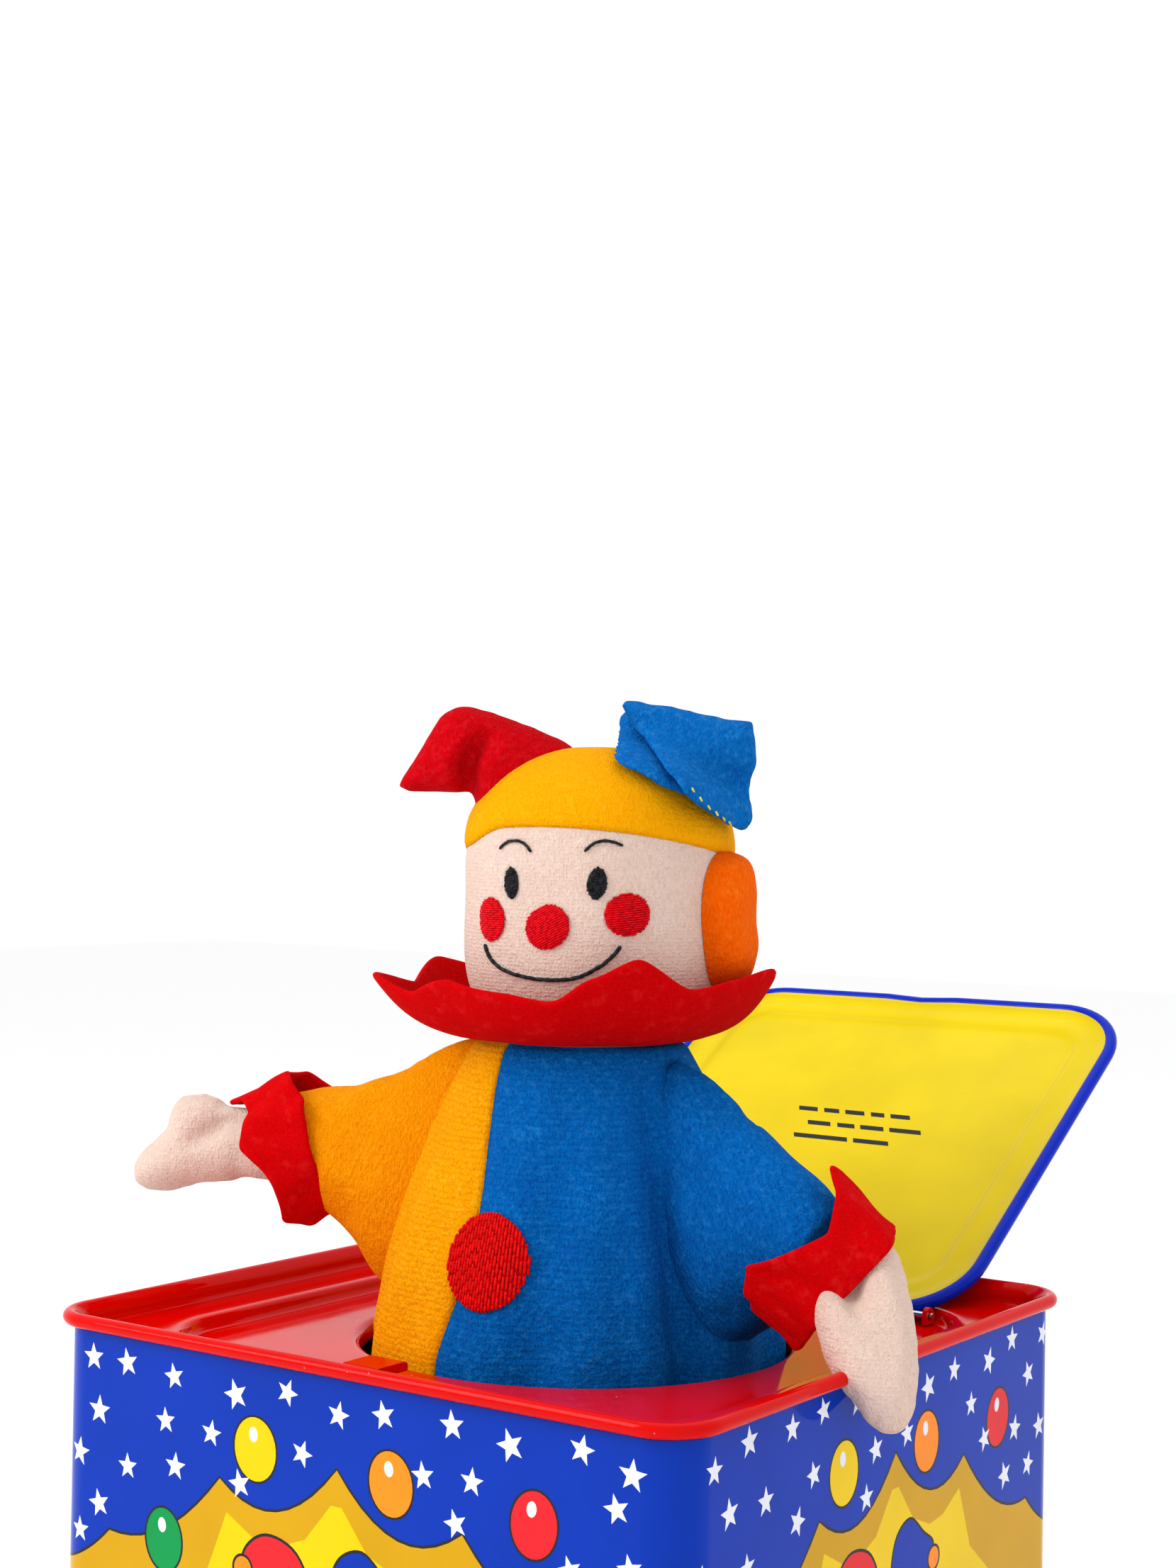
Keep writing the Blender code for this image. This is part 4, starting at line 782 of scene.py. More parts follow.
def pillow(outline, thickness, frame_of, seed, grid=1.3, crease=None):
    """A shape of two layers sewn along the outline. thickness(x, y) is its half height where it is full,
    crease(x, y) is added to its front, and frame_of maps (x, y, height) to a point in space."""
    line = [tuple(p) for p in smooth_line(outline, 5, closed=True)]
    xs, ys = [p[0] for p in line], [p[1] for p in line]
    rolls = random.Random(seed)
    points = [Vector(p) for p in line]
    y, row = min(ys), 0
    while y < max(ys):
        x = min(xs) + (row % 2) * grid / 2
        while x < max(xs):
            spot = (x + rolls.uniform(-0.15, 0.15), y + rolls.uniform(-0.15, 0.15))
            if inside(spot, line) and edge_distance(spot, line) > grid * 0.55:
                points.append(Vector(spot))
            x += grid
        y += grid * 0.87
        row += 1
    flat, _, tris, _, _, _ = delaunay_2d_cdt(points, [], [list(range(len(line)))], 1, 1e-5)
    bm = bmesh.new()
    fronts, backs = [], []
    for x, y in flat:
        away = edge_distance((x, y), line)
        full = thickness(x, y)
        height = full * sqrt(max(0.0, 1 - (1 - min(away / (full * 1.25), 1.0)) ** 2))
        height += crease(x, y) * min(1.0, away / 2.5) if crease else 0.0
        fronts.append(bm.verts.new(frame_of(x, y, height)))
        backs.append(fronts[-1] if away < 0.02 else bm.verts.new(frame_of(x, y, -abs(height))))
    for tri in tris:
        front, back = [fronts[i] for i in tri], [backs[i] for i in reversed(tri)]
        bm.faces.new(front)
        if set(front) != set(back):
            bm.faces.new(back)
    inner = [v for v in bm.verts if not v.is_boundary]
    for _ in range(3):
        bmesh.ops.smooth_vert(bm, verts=inner, factor=0.4, use_axis_x=True, use_axis_y=True, use_axis_z=True)
    return bm


def bake(obj):
    graph = bpy.context.evaluated_depsgraph_get()
    made = bpy.data.meshes.new_from_object(obj.evaluated_get(graph), depsgraph=graph)
    obj.modifiers.clear()
    obj.data = made
    made.shade_smooth()


def stuff(obj, voxel, pressure, frames=14, shrink=0.0):
    """Fills a sewn shape: its skin is blown up as cloth at ten times its size, then brought back to size."""
    scene = bpy.context.scene
    rest = obj.matrix_world.copy()
    centre = sum((v.co for v in obj.data.vertices), Vector()) / len(obj.data.vertices)
    obj.data.transform(Matrix.Scale(10, 4) @ Matrix.Translation(-centre))
    modifier(obj, "REMESH", mode="VOXEL", voxel_size=voxel * MM * 10, use_smooth_shade=True)
    bake(obj)
    before = [v.co.copy() for v in obj.data.vertices]
    step = modifier(obj, "CLOTH")
    cloth = step.settings
    cloth.quality, cloth.mass = 6, 0.2
    cloth.use_pressure, cloth.uniform_pressure_force = True, pressure
    cloth.tension_stiffness = cloth.compression_stiffness = 40
    cloth.shear_stiffness, cloth.bending_stiffness = 20, 2.0
    cloth.tension_damping = cloth.compression_damping = 15
    cloth.shrink_min = shrink
    cloth.effector_weights.gravity = 0
    step.point_cache.frame_start, step.point_cache.frame_end = 1, frames
    for frame_number in range(1, frames + 1):
        scene.frame_set(frame_number)
    bake(obj)
    scene.frame_set(1)
    most = 9 * MM
    for vert, old in zip(obj.data.vertices, before):
        move = vert.co - old
        if move.length > most:
            vert.co = old + move.normalized() * most
    obj.data.transform(Matrix.Translation(centre) @ Matrix.Scale(0.1, 4))
    obj.matrix_world = rest
    subdivide(obj)


def stuffed(name, outline, full, frame_of, look, slot, cad, voxel, pressure, frames=14, **how):
    """A pillow, filled."""
    obj = piece(name, pillow(outline, full, frame_of, **how), (look,), slot, (cad,))
    stuff(obj, voxel, pressure, frames)
    return obj


def seen(x, y, h):
    """A spot from a view of the doll's front left: x across it, y up it over the rim and h out of it."""
    return over_rim(*(ACROSS * x + UP * y + TOWARDS * h))


def drape(x, y, least):
    """How far the crown stands out behind a spot of that view, evened out round the spot."""
    depths = []
    for i, j in ((i, j) for i in (-2, 0, 2) for j in (-5, -2, 0)):
        radius = head_radius(min(y + j - 81.5, HEAD_TALL * 0.999))
        depths.append(sqrt(max(0.0, radius**2 - (x + i - 3.0) ** 2)))
    return max(sum(depths) / len(depths), least)


def make_red_horn():
    edge = [(-22.3, 98.4), (-23.4, 99.0), (-28, 99.4), (-34.4, 99.6), (-36.6, 100.3), (-37.1, 101.8)]
    edge += [(-36.2, 103.7), (-34.9, 105.6), (-31.2, 111.6), (-28.9, 115.2), (-26.6, 117.0), (-23.5, 117.5)]
    edge += [(-19.8, 117.0), (-13.6, 114.9), (-6.8, 112.3), (-1.3, 109.2), (-1.5, 104), (-8, 98)]
    edge += [(-17, 92.5), (-21, 93.0)]
    fold = [(-18.6, 111.3), (-21.4, 108.6), (-22.9, 105.3), (-22.7, 99.8), (-22.9, 105.3), (-21.4, 108.6)]

    def full(x, y):
        return 3.6 + 4.2 * clamp((x + 37) / 24)

    def frame_of(x, y, h):
        return seen(x, y, h + 1.2)

    def crease(x, y):
        away = edge_distance((x, y), fold)
        lip = 1.6 * bell(away - 3.4, 1.8) * (1 if x < -22 else 0.5)
        return clamp((112.5 - y) / 5) * (lip - 6.6 * bell(away, 1.7))

    look = (HORN_RED, "red_felt", "cap_horn_right")
    how = {"seed": 2, "crease": crease, "grid": 1.05}
    horn = stuffed("cap_horn_red", edge, full, frame_of, *look, 0.9, 2.5, **how)


def make_blue_horn():
    """A horn that is folded over on itself, with a hand-sewn seam."""
    back = [(6.2, 116.2), (5.6, 113), (4.9, 108.8), (4.4, 106.6), (6.2, 104.7), (9.6, 103.2), (14.7, 100.4)]
    back += [(19, 99.2), (24, 100.5), (28, 106), (24, 112), (15, 116.5), (9, 117.6)]
    seam = [(6.2, 117.2), (7.2, 115.2), (9.8, 111.4), (13.2, 106.4), (16.4, 101.9), (19.8, 98.2), (25, 95.0)]
    front = [(6.2, 117.2), (7.1, 118.6), (9.6, 118.5), (16.4, 117.8), (25, 116), (31.6, 115), (33.0, 113.6)]
    front += [(33.7, 107), (32.7, 103.6), (32.3, 100.2), (33, 96.8), (32.4, 94.2), (30.4, 92.7), (28.2, 93.2)]
    front += seam[:0:-1]
    seam += [(28.2, 93.2)] + seam[:0:-1]

    def front_full(x, y):
        return 2.8 + 1.6 * exp(-(((x - 24) / 8) ** 2 + ((y - 110) / 6) ** 2))

    def back_frame(x, y, h):
        return seen(x, y, h + 3.6 + drape(x, y, 1.0))

    def front_frame(x, y, h):
        return seen(x, y, h + 9.4 + drape(x, y, 0.0))

    def crease(x, y):
        dent = bell((x - 24.5) * 0.35 + (y - 104.5) * 0.94, 1.5) * clamp((x - 18) / 6)
        return -2.2 * dent - 0.9 * bell(edge_distance((x, y), seam) - 2.2, 0.55)

    look = (HORN_BLUE, "blue_cloth", "cap_horn_left")
    how = {"seed": 3, "grid": 1.2}
    horn = stuffed("cap_horn_blue_fold", back, lambda x, y: 2.4, back_frame, *look, 0.8, 1.2, 8, **how)
    how = {"seed": 4, "crease": crease, "grid": 1.0}
    horn = stuffed("cap_horn_blue", front, front_full, front_frame, *look, 0.7, 1.2, 8, **how)
    bm = bmesh.new()
    for x, y in ((19.9, 101.3), (21.4, 99.6), (23.0, 98.1), (24.6, 97.0), (26.1, 96.0), (27.4, 95.2)):
        spot = front_frame(x, y, 3.1)
        capsule(bm, spot, spot + (ACROSS * 0.5 - UP * 0.9) * MM, 0.2)
    piece("cap_stitches", bm, (YELLOW_THREAD,), "yellow_cloth")


def capsule(bm, a, b, radius, steps=6):
    """A short fat stitch from a to b."""
    ahead = (b - a).normalized()
    side = ahead.orthogonal().normalized()
    other = ahead.cross(side)
    spokes = [side * cos(tau * k / steps) + other * sin(tau * k / steps) for k in range(steps)]
    shape = ((0.0, 0.25), (0.12, 0.8), (0.5, 1.0), (0.88, 0.8), (1.0, 0.25))
    rings = [[a.lerp(b, share) + spoke * (radius * MM * r) for spoke in spokes] for share, r in shape]
    loft(bm, rings, caps=(True, True))


def stitched_line(name, path, length, radius):
    """Overlapping black stitches along (azimuth in degrees, rise) points on the head."""
    spots = [off_head(radians(a), rise, 0.25) for a, rise in smooth_line(path, 14)]
    marks = [0.0]
    for a, b in zip(spots, spots[1:]):
        marks.append(marks[-1] + (b - a).length)
    run = marks[-1]

    def at(distance):
        for i in range(len(marks) - 1):
            if marks[i + 1] >= distance:
                return spots[i].lerp(spots[i + 1], (distance - marks[i]) / max(marks[i + 1] - marks[i], 1e-9))
        return spots[-1]

    bm = bmesh.new()
    count = max(2, round(run / (length * MM)))
    rolls = random.Random(len(name))
    for i in range(count):
        a, b = at(run * (i - 0.22) / count if i else 0), at(min(run, run * (i + 1.22) / count))
        nudge = Vector((rolls.uniform(-0.1, 0.1), 0, rolls.uniform(-0.12, 0.12))) * MM
        capsule(bm, a + nudge, b - nudge, radius)
    piece(name, bm, (BLACK_THREAD,), "black_thread")


def embroidered(name, surface, wide, tall, mat, slot, cad, dome=0.5, pitch=0.42, stitch=1.9, upright=False):
    """An oval filled with rows of short stitches over a low padded base. surface(x, y, out) gives points."""
    rolls = random.Random(len(name))

    def spot(x, y, out=0.0):
        r = hypot(x / wide, y / tall)
        return surface(x, y, 0.12 + dome * max(0.0, 1 - r * r) ** 0.6 + out)

    bm = bmesh.new()
    around = [tau * k / 32 for k in range(32)]
    shares = (0.25, 0.5, 0.7, 0.85, 0.97)
    rings = [[spot(wide * s * cos(a), tall * s * sin(a)) for a in around] for s in shares]
    loft(bm, rings, caps=(True, False))
    long, across = (tall, wide) if upright else (wide, tall)
    for row in range(int(2 * across / pitch) + 1):
        side = -across + pitch * (row + 0.5)
        if abs(side) >= across:
            continue
        reach = long * sqrt(1 - (side / across) ** 2) + rolls.uniform(-0.18, 0.12)
        start = -reach - ((row % 2) * 0.5 + 0.06 * (row % 5)) * stitch
        while start < reach:
            ends = (max(start, -reach), min(start + stitch, reach))
            if ends[1] - ends[0] > 0.5:
                a, b = (spot(*((side, t) if upright else (t, side)), 0.12) for t in ends)
                capsule(bm, a, b, pitch * 0.58, 5)
            start += stitch * 0.94
    return piece(name, bm, (mat,), slot, (cad,))


def on_head(azimuth, rise, tilt=0.0):
    """Maps flat millimetres round a spot on the head to space."""

    def surface(x, y, out):
        u, v = x * cos(tilt) - y * sin(tilt), x * sin(tilt) + y * cos(tilt)
        return off_head(radians(azimuth) + u / HEAD_R, rise + v, out)

    return surface


def make_face():
    eye = (BLACK_THREAD, "black_thread")
    embroidered("eye_thread_right", on_head(-17.8, 1.4, 0.1), 1.65, 3.0, *eye, "eye_right", 0.35, 0.34, 1.4)
    embroidered("eye_thread_left", on_head(20.3, 1.7, -0.1), 1.85, 3.0, *eye, "eye_left", 0.35, 0.34, 1.4)
    red = (RED_THREAD, "red_thread")
    embroidered("cheek_thread_right", on_head(-29.0, -5.6), 3.8, 4.2, *red, "cheek_right", 0.4)
    embroidered("cheek_thread_left", on_head(33.0, -4.0, 0.1), 4.5, 4.0, *red, "cheek_left", 0.4)
    embroidered("nose_thread", on_head(-0.3, -6.6, 0.5), 4.6, 4.1, *red, "nose", 0.8)
    mouth = [(-33.4, -10.4), (-32, -12), (-26, -14.2), (-20, -15.2), (-13, -15.9), (-3, -16.4), (6, -16.3)]
    mouth += [(13, -15.8), (22, -13.7), (27.5, -11.6), (30.4, -9.9)]
    stitched_line("mouth_stitches", mouth, 1.7, 0.42)
    right = [(-26, 7.6), (-23.5, 8.8), (-19, 9.4), (-14, 9.1), (-11, 8.3), (-9.2, 7.2)]
    stitched_line("brow_stitches_right", right, 1.3, 0.32)
    left = [(15, 7.5), (17, 8.6), (20.5, 9.5), (25, 9.6), (28.5, 9.2), (31, 8.7)]
    stitched_line("brow_stitches_left", left, 1.3, 0.32)


def make_hair():
    """A stuffed orange half round at each side of the head, under the cap."""
    count = 40
    for label, side, azimuth in (("right", -1, -118), ("left", 1, 91)):

        def point(share, a):
            grow = share * (abs(cos(a)) ** 3 + abs(sin(a)) ** 3) ** (-1 / 3)
            x = 12.2 * cos(a) * (1 if cos(a) * side > 0 else 0.78) * grow
            y = 13.4 * sin(a) * grow - 5.4
            lean = 1.92 * max(0.0, -sin(a)) * side * share
            puff = 1 + wobble((x, y, side * 5), 0.16, 0.16)
            out = 5.8 * (1 - share**4.5) ** 0.6 * puff + 0.15
            return off_head(radians(azimuth) + (x + lean) / HEAD_R, max(-22.5, min(14.0, y)), out)

        bm = bmesh.new()
        loft(bm, [[point(i / 12, tau * k / count) for k in range(count)] for i in range(1, 13)])
        middle = bm.verts.new(point(0, 0))
        bm.verts.ensure_lookup_table()
        for k in range(count):
            bm.faces.new((middle, bm.verts[k], bm.verts[(k + 1) % count]))
        hair = piece(f"hair_fleece_{label}", bm, (ORANGE_HAIR,), "orange_hair", (f"hair_{label}",))
        subdivide(hair)


VIEW_TURN = radians(35.13)
# the ruff's edge: azimuth from the camera's side, radius and height over the rim
RUFF_EDGE = [
    (-180, 37.5, 66.5), (-155, 34.0, 61.5), (-128, 38.0, 67.5), (-104, 34.5, 61.5), (-79, 41.0, 65.4),
    (-62, 36.5, 62.0), (-43, 36.5, 64.6), (-24, 36.0, 63.4), (-8, 35.0, 61.8), (4, 35.6, 65.6),
    (17, 36.6, 70.0), (35, 35.5, 64.4), (54, 36.5, 65.0), (74, 38.6, 67.4), (96, 34.5, 61.5),
    (126, 38.0, 67.5), (154, 34.0, 61.5), (180, 37.5, 66.5),
]  # fmt: skip


def ruff_edge(turn):
    """Radius and height of the ruff's edge at an azimuth, eased between the points and sharp at its tips."""
    degrees = wrapped(turn * 180 / pi)
    for (a, ra, za), (b, rb, zb) in zip(RUFF_EDGE, RUFF_EDGE[1:]):
        if a <= degrees <= b:
            t = (degrees - a) / (b - a)
            t = 0.45 * t + 0.55 * t * t * (3 - 2 * t)
            return ra + (rb - ra) * t, za + (zb - za) * t
    return RUFF_EDGE[0][1:]


def make_ruff():
    low_r, low_z = 20.3, 53.0

    def point(share, turn):
        edge_r, edge_z = ruff_edge(turn)
        bulge = sin(share * pi) * 1.8
        radius = min(low_r + (edge_r - low_r) * share**0.85 + bulge * 0.8, 41.2)
        z = low_z + (edge_z - low_z) * share**1.25 - bulge * 0.55
        fold = (0.9 * sin(turn * 7 + 1.3) + wobble((cos(turn) * 3, sin(turn) * 3, share), 1.4, 0.9)) * share
        a = VIEW_TURN + turn
        return over_rim(radius * sin(a), -radius * cos(a), z + fold * 0.6)

    ruff = piece("ruff_felt", skin(14, 200, point), (RED_FELT,), "red_felt", ("neck_ruff",))
    modifier(ruff, "SOLIDIFY", thickness=1.3 * MM, offset=0)
    subdivide(ruff)


# the robe's radius and height over the rim, from the neck down
ROBE_PROFILE = [
    (19.6, 52.2), (21.2, 50.6), (24.2, 45), (29.2, 34), (33.6, 22), (37.4, 9), (40.2, -4), (40.2, -11),
    (37, -26), (34, -50), (32.5, -70), (31.5, -100), (31, -131),
]  # fmt: skip
# the robe's folds: azimuth at the hem line, azimuth at the neck, width in degrees, depth in millimetres
ROBE_FOLDS = [
    (-33, -16, 9, 1.6), (-47, -30, 8, -2.0), (24, 32, 7, -1.6), (38, 44, 8, 1.5), (54, 55, 5, 1.2),
    (67, 65, 5.5, -5.4), (82, 76, 7, 1.6), (12, 20, 9, 0.9), (104, 100, 9, -2.0), (125, 122, 9, 1.4),
    (150, 150, 10, -1.8), (-75, -70, 9, -1.8), (-98, -95, 9, 1.4), (-122, -120, 9, -2.0),
    (-148, -150, 10, 1.4), (172, 172, 9, -1.2),
]  # fmt: skip


def robe_surface(azimuth, z, out=0.0):
    radius = ROBE_PROFILE[-1][0]
    for (r0, z0), (r1, z1) in zip(ROBE_PROFILE, ROBE_PROFILE[1:]):
        if z0 >= z >= z1:
            radius = r0 + (r1 - r0) * (z0 - z) / (z0 - z1)
            break
    down = clamp((51 - z) / 58)
    for low, high, wide, depth in ROBE_FOLDS:
        gap = wrapped(azimuth * 180 / pi - (high + (low - high) * down))
        radius += depth * bell(gap, wide) * down**0.8
    radius += wobble((azimuth * 3, z * 0.05, 1), 1.6, 0.8) * down
    radius = min(radius, 41.0 if z > -14 else 40.0) + out
    return over_rim(radius * sin(azimuth), -radius * cos(azimuth), z)


def seam_azimuth(z):
    if z > 18:
        return radians(-10 + 12 * sin((51 - z) / 33 * pi / 2))
    return radians(2 - 7.5 * sin(min(1.0, (18 - z) / 30) * pi / 2) ** 1.5)


def make_robe():
    """Two halves of fleece, seamed down the front and the back, gathered at the neck."""
    heights = [52.2, 51.4] + [50.6 - 1.6 * i for i in range(42)]
    heights += [heights[-1] - 6 * i for i in range(1, 20) if heights[-1] - 6 * i > -131]
    count = 72
    for label, sign, mat, slot in (
        ("right", -1, YELLOW_CLOTH, "yellow_cloth"),
        ("left", 1, BLUE_CLOTH, "blue_cloth"),
    ):
        bm = bmesh.new()
        rows = []
        for z in heights:
            first = seam_azimuth(z)
            row = []
            for k in range(count + 1):
                azimuth = first + (sign * pi - first) * k / count
                tuck = -0.7 * bell(min(k, count - k), 1.1)
                row.append(bm.verts.new(robe_surface(azimuth, z, tuck)))
            rows.append(row)
        for low, high in zip(rows, rows[1:]):
            for i in range(count):
                bm.faces.new((low[i], low[i + 1], high[i + 1], high[i]))
        robe = piece(f"robe_fleece_{label}", bm, (mat,), slot, (f"robe_{label}_half",))
        faces_out = robe.data.polygons[count * 5 + 30].normal.x * sign > 0
        modifier(robe, "SOLIDIFY", thickness=1.1 * MM, offset=-1 if faces_out else 1)
        squash_down(robe)


def squash_down(obj):
    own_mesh(obj)


def squash_in(obj, side):
    """Gives the arm's piece a mesh of its own."""
    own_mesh(obj)


def make_button():
    def surface(x, y, out):
        azimuth, z = (5.0 + x) / 36.5, 14.0 + y
        side = robe_surface(azimuth + 0.05, z) - robe_surface(azimuth - 0.05, z)
        rise = robe_surface(azimuth, z + 1) - robe_surface(azimuth, z - 1)
        return robe_surface(azimuth, z) + side.cross(rise).normalized() * ((out + 0.15) * MM)

    look = (BUTTON_THREAD, "red_thread", "robe_button")
    squash_down(embroidered("button_thread_patch", surface, 8.5, 8.8, *look, 0.3, 0.66, 2.6, upright=True))


ARM_OUT = Vector((-cos(radians(19)), -sin(radians(19)), 0))


def arm_at(reach, height, wide, tall):
    return (*(ARM_OUT * reach).xy, height, wide, tall)


def sleeve_skin(stations, ahead):
    """A soft tube of oval sections through stations (x, y, z over the rim, half wide, half tall)."""
    line, sizes = smooth_line([s[:3] for s in stations]), smooth_line([s[3:] for s in stations])
    side = UP.cross(ahead).normalized()
    up = ahead.cross(side).normalized()

    def point(share, a):
        i = round(share * (len(line) - 1))
        folds = 0.03 * sin(a * 3 + 2 + share * 3) + 0.025 * sin(a * 7 - share * 5)
        out = 1 + folds * sin(share * pi) ** 0.5 + 0.012 * sin(share * 22 + a * 2)
        return over_rim(*(line[i] + side * (sizes[i].x * out * cos(a)) + up * (sizes[i].y * out * sin(a))))

    return skin(len(line) - 1, 40, point, (True, True))


def make_sleeves():
    right = [arm_at(20, 25.8, 7, 25.6), arm_at(24, 24.8, 8.4, 25.4), arm_at(33, 22.4, 9.2, 23.8)]
    right += [arm_at(40, 23.0, 9.4, 20.2), arm_at(45, 25.6, 9.2, 16.0), arm_at(50, 27.6, 9, 13.0)]
    right += [arm_at(56, 28.6, 8.6, 10.8), arm_at(62, 28.4, 8, 9.4)]
    left = [(19, -0.6, 23.8, 7, 26), (24, -1.2, 21.6, 8.6, 25.6), (32, -2.2, 18.6, 9.6, 23.8)]
    left += [(39, -3.4, 17.2, 10.2, 21.0), (46, -4.6, 17.8, 10.2, 16.6), (53, -5.8, 18.2, 9.8, 11.8)]
    left += [(59, -7.2, 15.6, 8.6, 9.2)]
    for label, side, stations, ahead, mat, slot in (
        # the right sleeve's yellow is darker than the robe's: painted shade
        ("right", -1, right, ARM_OUT, SLEEVE_YELLOW_SHADED, "yellow_cloth"),
        ("left", 1, left, Vector((0.98, -0.13, -0.16)).normalized(), SLEEVE_BLUE, "blue_cloth"),
    ):
        bm = sleeve_skin(stations, ahead)
        sleeve = piece(f"sleeve_fleece_{label}", bm, (mat,), slot, (f"sleeve_{label}",))
        stuff(sleeve, 1.1, 1.2, shrink=-0.04)
        squash_in(sleeve, side)


def make_cuffs():
    """Felt bands cut in points along both edges."""
    lean = radians(-29)
    right_axis = ARM_OUT * cos(lean) + UP * sin(lean)
    left_axis = (ACROSS * 0.74 - UP * 0.62 + TOWARDS * 0.12).normalized()

    def points(a, phase, count):
        return abs(((a - phase) / tau * count) % 1 * 2 - 1)

    # per cuff: side, centre, axis, half sizes (level, upright), the hand edge's points (depth, phase, count)
    # and its tab, the body edge's reach and points
    centre_r, centre_l = ARM_OUT * 58.6 + UP * 28.0, Vector((60.2, -8.4, 15.6))
    for label, side, centre, axis, wide, tall, hand, tab, body_reach, body in (
        ("right", -1, centre_r, right_axis, 9.4, 13.2, (3.2, 1.57, 5), 3.4, 5.0, (4.0, 4.71, 3)),
        ("left", 1, centre_l, left_axis, 9.8, 12.8, (1.0, 0.2, 3), 0.0, 4.4, (7.2, 1.6, 3)),
    ):
        level = UP.cross(axis).normalized()
        upright = axis.cross(level).normalized()

        def point(share, a):
            along_hand = 5.0 + hand[0] * points(a, *hand[1:]) ** 1.5 + tab * bell(a - 1.75, 0.3)
            along_body = body_reach + body[0] * points(a, *body[1:]) ** 1.2
            along = along_hand * share - along_body * (1 - share)
            flare = 1 + 0.07 * max(0.0, along / 8) ** 2 + 0.05 * max(0.0, -along / 8) ** 2
            flare *= 1 + wobble((cos(a) * 2, sin(a) * 2, share), 1.5, 0.12)
            p = centre + axis * along + level * (wide * flare * cos(a)) + upright * (tall * flare * sin(a))
            return over_rim(*p)

        cuff = piece(f"cuff_felt_{label}", skin(8, 90, point), (RED_FELT,), "red_felt", (f"cuff_{label}",))
        modifier(cuff, "SOLIDIFY", thickness=1.2 * MM, offset=1)
        subdivide(cuff)
        squash_in(cuff, side)


def make_right_hand():
    """A lightly filled mitten of two layers, seamed round the edge."""
    edge = [(56, 21), (56, 35), (62, 36.5), (68, 36.5), (74.8, 36.7), (78.3, 38.4), (83.8, 38.2), (87.2, 36)]
    edge += [(88.3, 32.7), (90.2, 29.2), (94.6, 25.4), (96.2, 21.8), (95.8, 18.9), (93.4, 17), (88.2, 16.4)]
    edge += [(79.3, 18.2), (69.6, 19.2), (62, 19.5)]
    level = UP.cross(ARM_OUT)

    def frame_of(x, y, h):
        return over_rim(*(ARM_OUT * x + UP * y - level * h))

    def full(x, y):
        return 5.8 + 2.0 * exp(-(((x - 86) / 8) ** 2 + ((y - 24) / 7) ** 2))

    def crease(x, y):
        dent = bell((x - 76) * 0.5 + (y - 31) * 0.85, 2.2) * bell(x - 74, 8)
        return -3.6 * dent - 1.0 * bell(x - 70, 1.8)

    look = (FLESH, "flesh_knit", "hand_right")
    hand = stuffed("hand_knit_right", edge, full, frame_of, *look, 0.8, 2.0, seed=7, crease=crease)
    squash_in(hand, -1)


def make_left_hand():
    edge = [(-3, 1), (2, -1.4), (8, -2.4), (12, -1.4), (14.9, 2.5), (15.9, 9.9), (16.4, 18.8), (16.0, 26.8)]
    edge += [(14.2, 32.0), (10.7, 34.3), (6.2, 32.4), (2.8, 28.5), (-1.1, 22.2), (-3.2, 13.2), (-3.6, 6)]
    origin = Vector((58.5, -7.5, 17.5))
    down = Vector((0.418, -0.592, -0.689))
    out = Vector((0.397, -0.563, 0.725))

    def frame_of(x, y, h):
        bend = -0.012 * max(0.0, y - 12) ** 2
        return over_rim(*(origin + ACROSS * x + down * y + out * (h + bend + 1.5)))

    def full(x, y):
        return 5.2 + 2.2 * clamp((8 - y) / 10)

    def crease(x, y):
        dent = bell(x - 4.2 - 0.1 * (y - 10), 2.0) * bell(y - 9, 7)
        return -5.4 * dent + 2.2 * bell(x - 9.0 - 0.12 * y, 2.2) * bell(y - 10, 12)

    look = (FLESH, "flesh_knit", "hand_left")
    hand = stuffed("hand_knit_left", edge, full, frame_of, *look, 0.8, 2.0, seed=8, crease=crease)
    squash_in(hand, 1)


def make_spring():
    """The pop spring, wound finer than its collision shape."""
    turns, radius, wire = 9, 16.0, 0.8
    low, high = 8.0 - RIM, 50.6

    def point(share, around):
        a = tau * turns * share
        out = Vector((cos(a), sin(a), 0))
        centre = out * radius + UP * (low + (high - low) * share)
        return over_rim(*(centre + (out * cos(around) + UP * sin(around)) * wire))

    bm = skin(turns * 40, 10, point, (True, True))
    spring = piece("spring_coil", bm, (STEEL,), "steel", ("pop_spring",), "box")
    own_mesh(spring)


# Camera, lights and floor


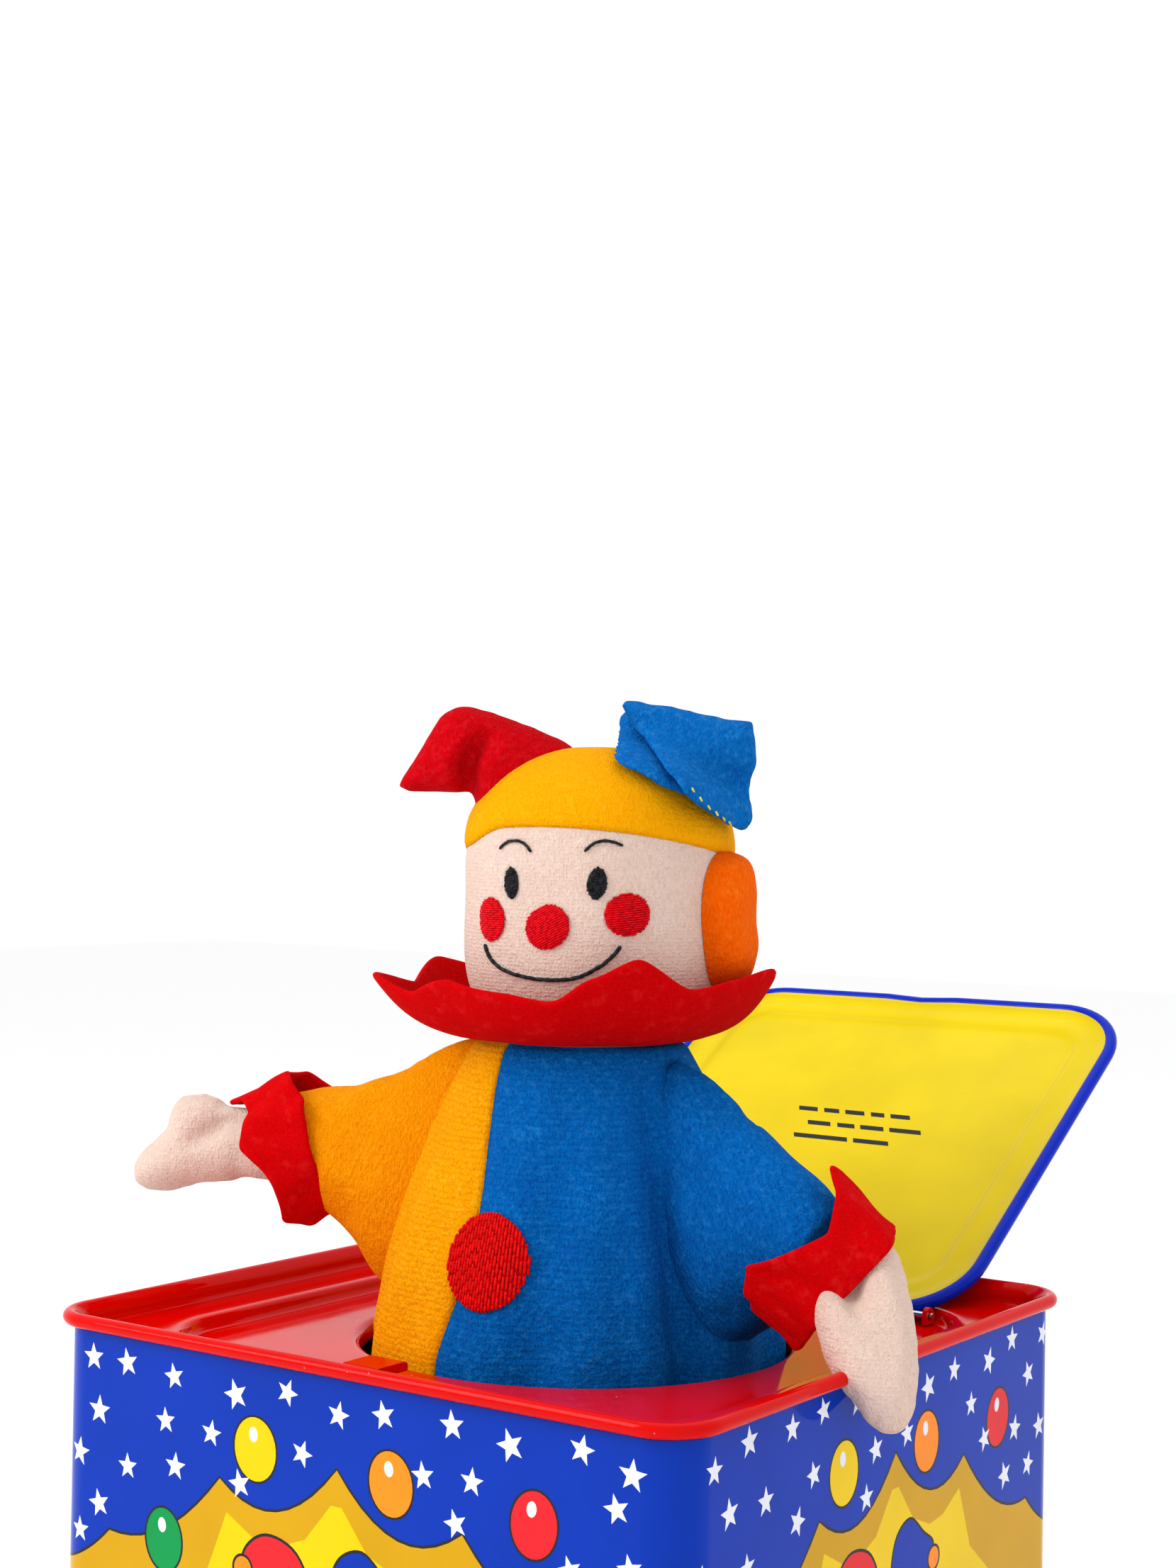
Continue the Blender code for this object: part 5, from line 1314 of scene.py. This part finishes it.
def make_camera():
    el, roll = radians(-1.01), radians(0.92)
    back = Vector((sin(VIEW_TURN) * cos(el), -cos(VIEW_TURN) * cos(el), sin(el)))
    x = UP.cross(back).normalized()
    y = back.cross(x)
    right, up = x * cos(roll) + y * sin(roll), y * cos(roll) - x * sin(roll)
    data = bpy.data.cameras.new("camera")
    data.lens, data.sensor_width = 54.325, 36
    camera = bpy.data.objects.new("camera", data)
    ROOT.objects.link(camera)
    turn = Matrix((right, up, back)).transposed().to_4x4()
    camera.matrix_world = Matrix.Translation((0.26824, -0.38010, 0.23590)) @ turn
    bpy.context.scene.camera = camera


def make_light(name, at, target, size, power):
    data = bpy.data.lights.new(name, "AREA")
    data.shape = "RECTANGLE"
    data.size, data.size_y = size
    data.energy = power
    light = bpy.data.objects.new(name, data)
    ROOT.objects.link(light)
    light.location = at
    light.rotation_euler = (Vector(target) - Vector(at)).to_track_quat("-Z", "Y").to_euler()


def make_studio():
    scene = bpy.context.scene
    scene.world = bpy.data.worlds.new("studio")
    scene.world.use_nodes = True
    background = scene.world.node_tree.nodes["Background"]
    background.inputs[0].default_value = (1, 1, 1, 1)
    background.inputs[1].default_value = 1.0
    scene.view_settings.view_transform = "Standard"
    make_light("key", (-0.55, -0.75, 0.75), (0, 0, 0.16), (0.5, 0.65), 6)
    make_light("fill", (0.9, -0.5, 0.5), (0, 0, 0.14), (0.5, 0.7), 0.4)
    make_light("top", (0.0, 0.1, 1.0), (0, 0, 0.15), (0.8, 0.8), 1.5)
    bm = bmesh.new()
    bmesh.ops.create_grid(bm, x_segments=1, y_segments=1, size=3)
    mesh = bpy.data.meshes.new("floor")
    bm.to_mesh(mesh)
    bm.free()
    mesh.materials.append(Paint("floor_paper", (0.97, 0.97, 0.97, 1), Roughness=0.9).made)
    floor = bpy.data.objects.new("floor", mesh)
    ROOT.objects.link(floor)


finish_cad_nodes()
make_camera()
make_studio()
make_wall()
make_tray()
make_lid()
make_lid_note()
make_spring()
make_cap(make_head())
make_red_horn()
make_blue_horn()
make_face()
make_hair()
make_robe()
make_ruff()
make_button()
make_sleeves()
make_cuffs()
make_right_hand()
make_left_hand()

bpy.context.view_layer.update()
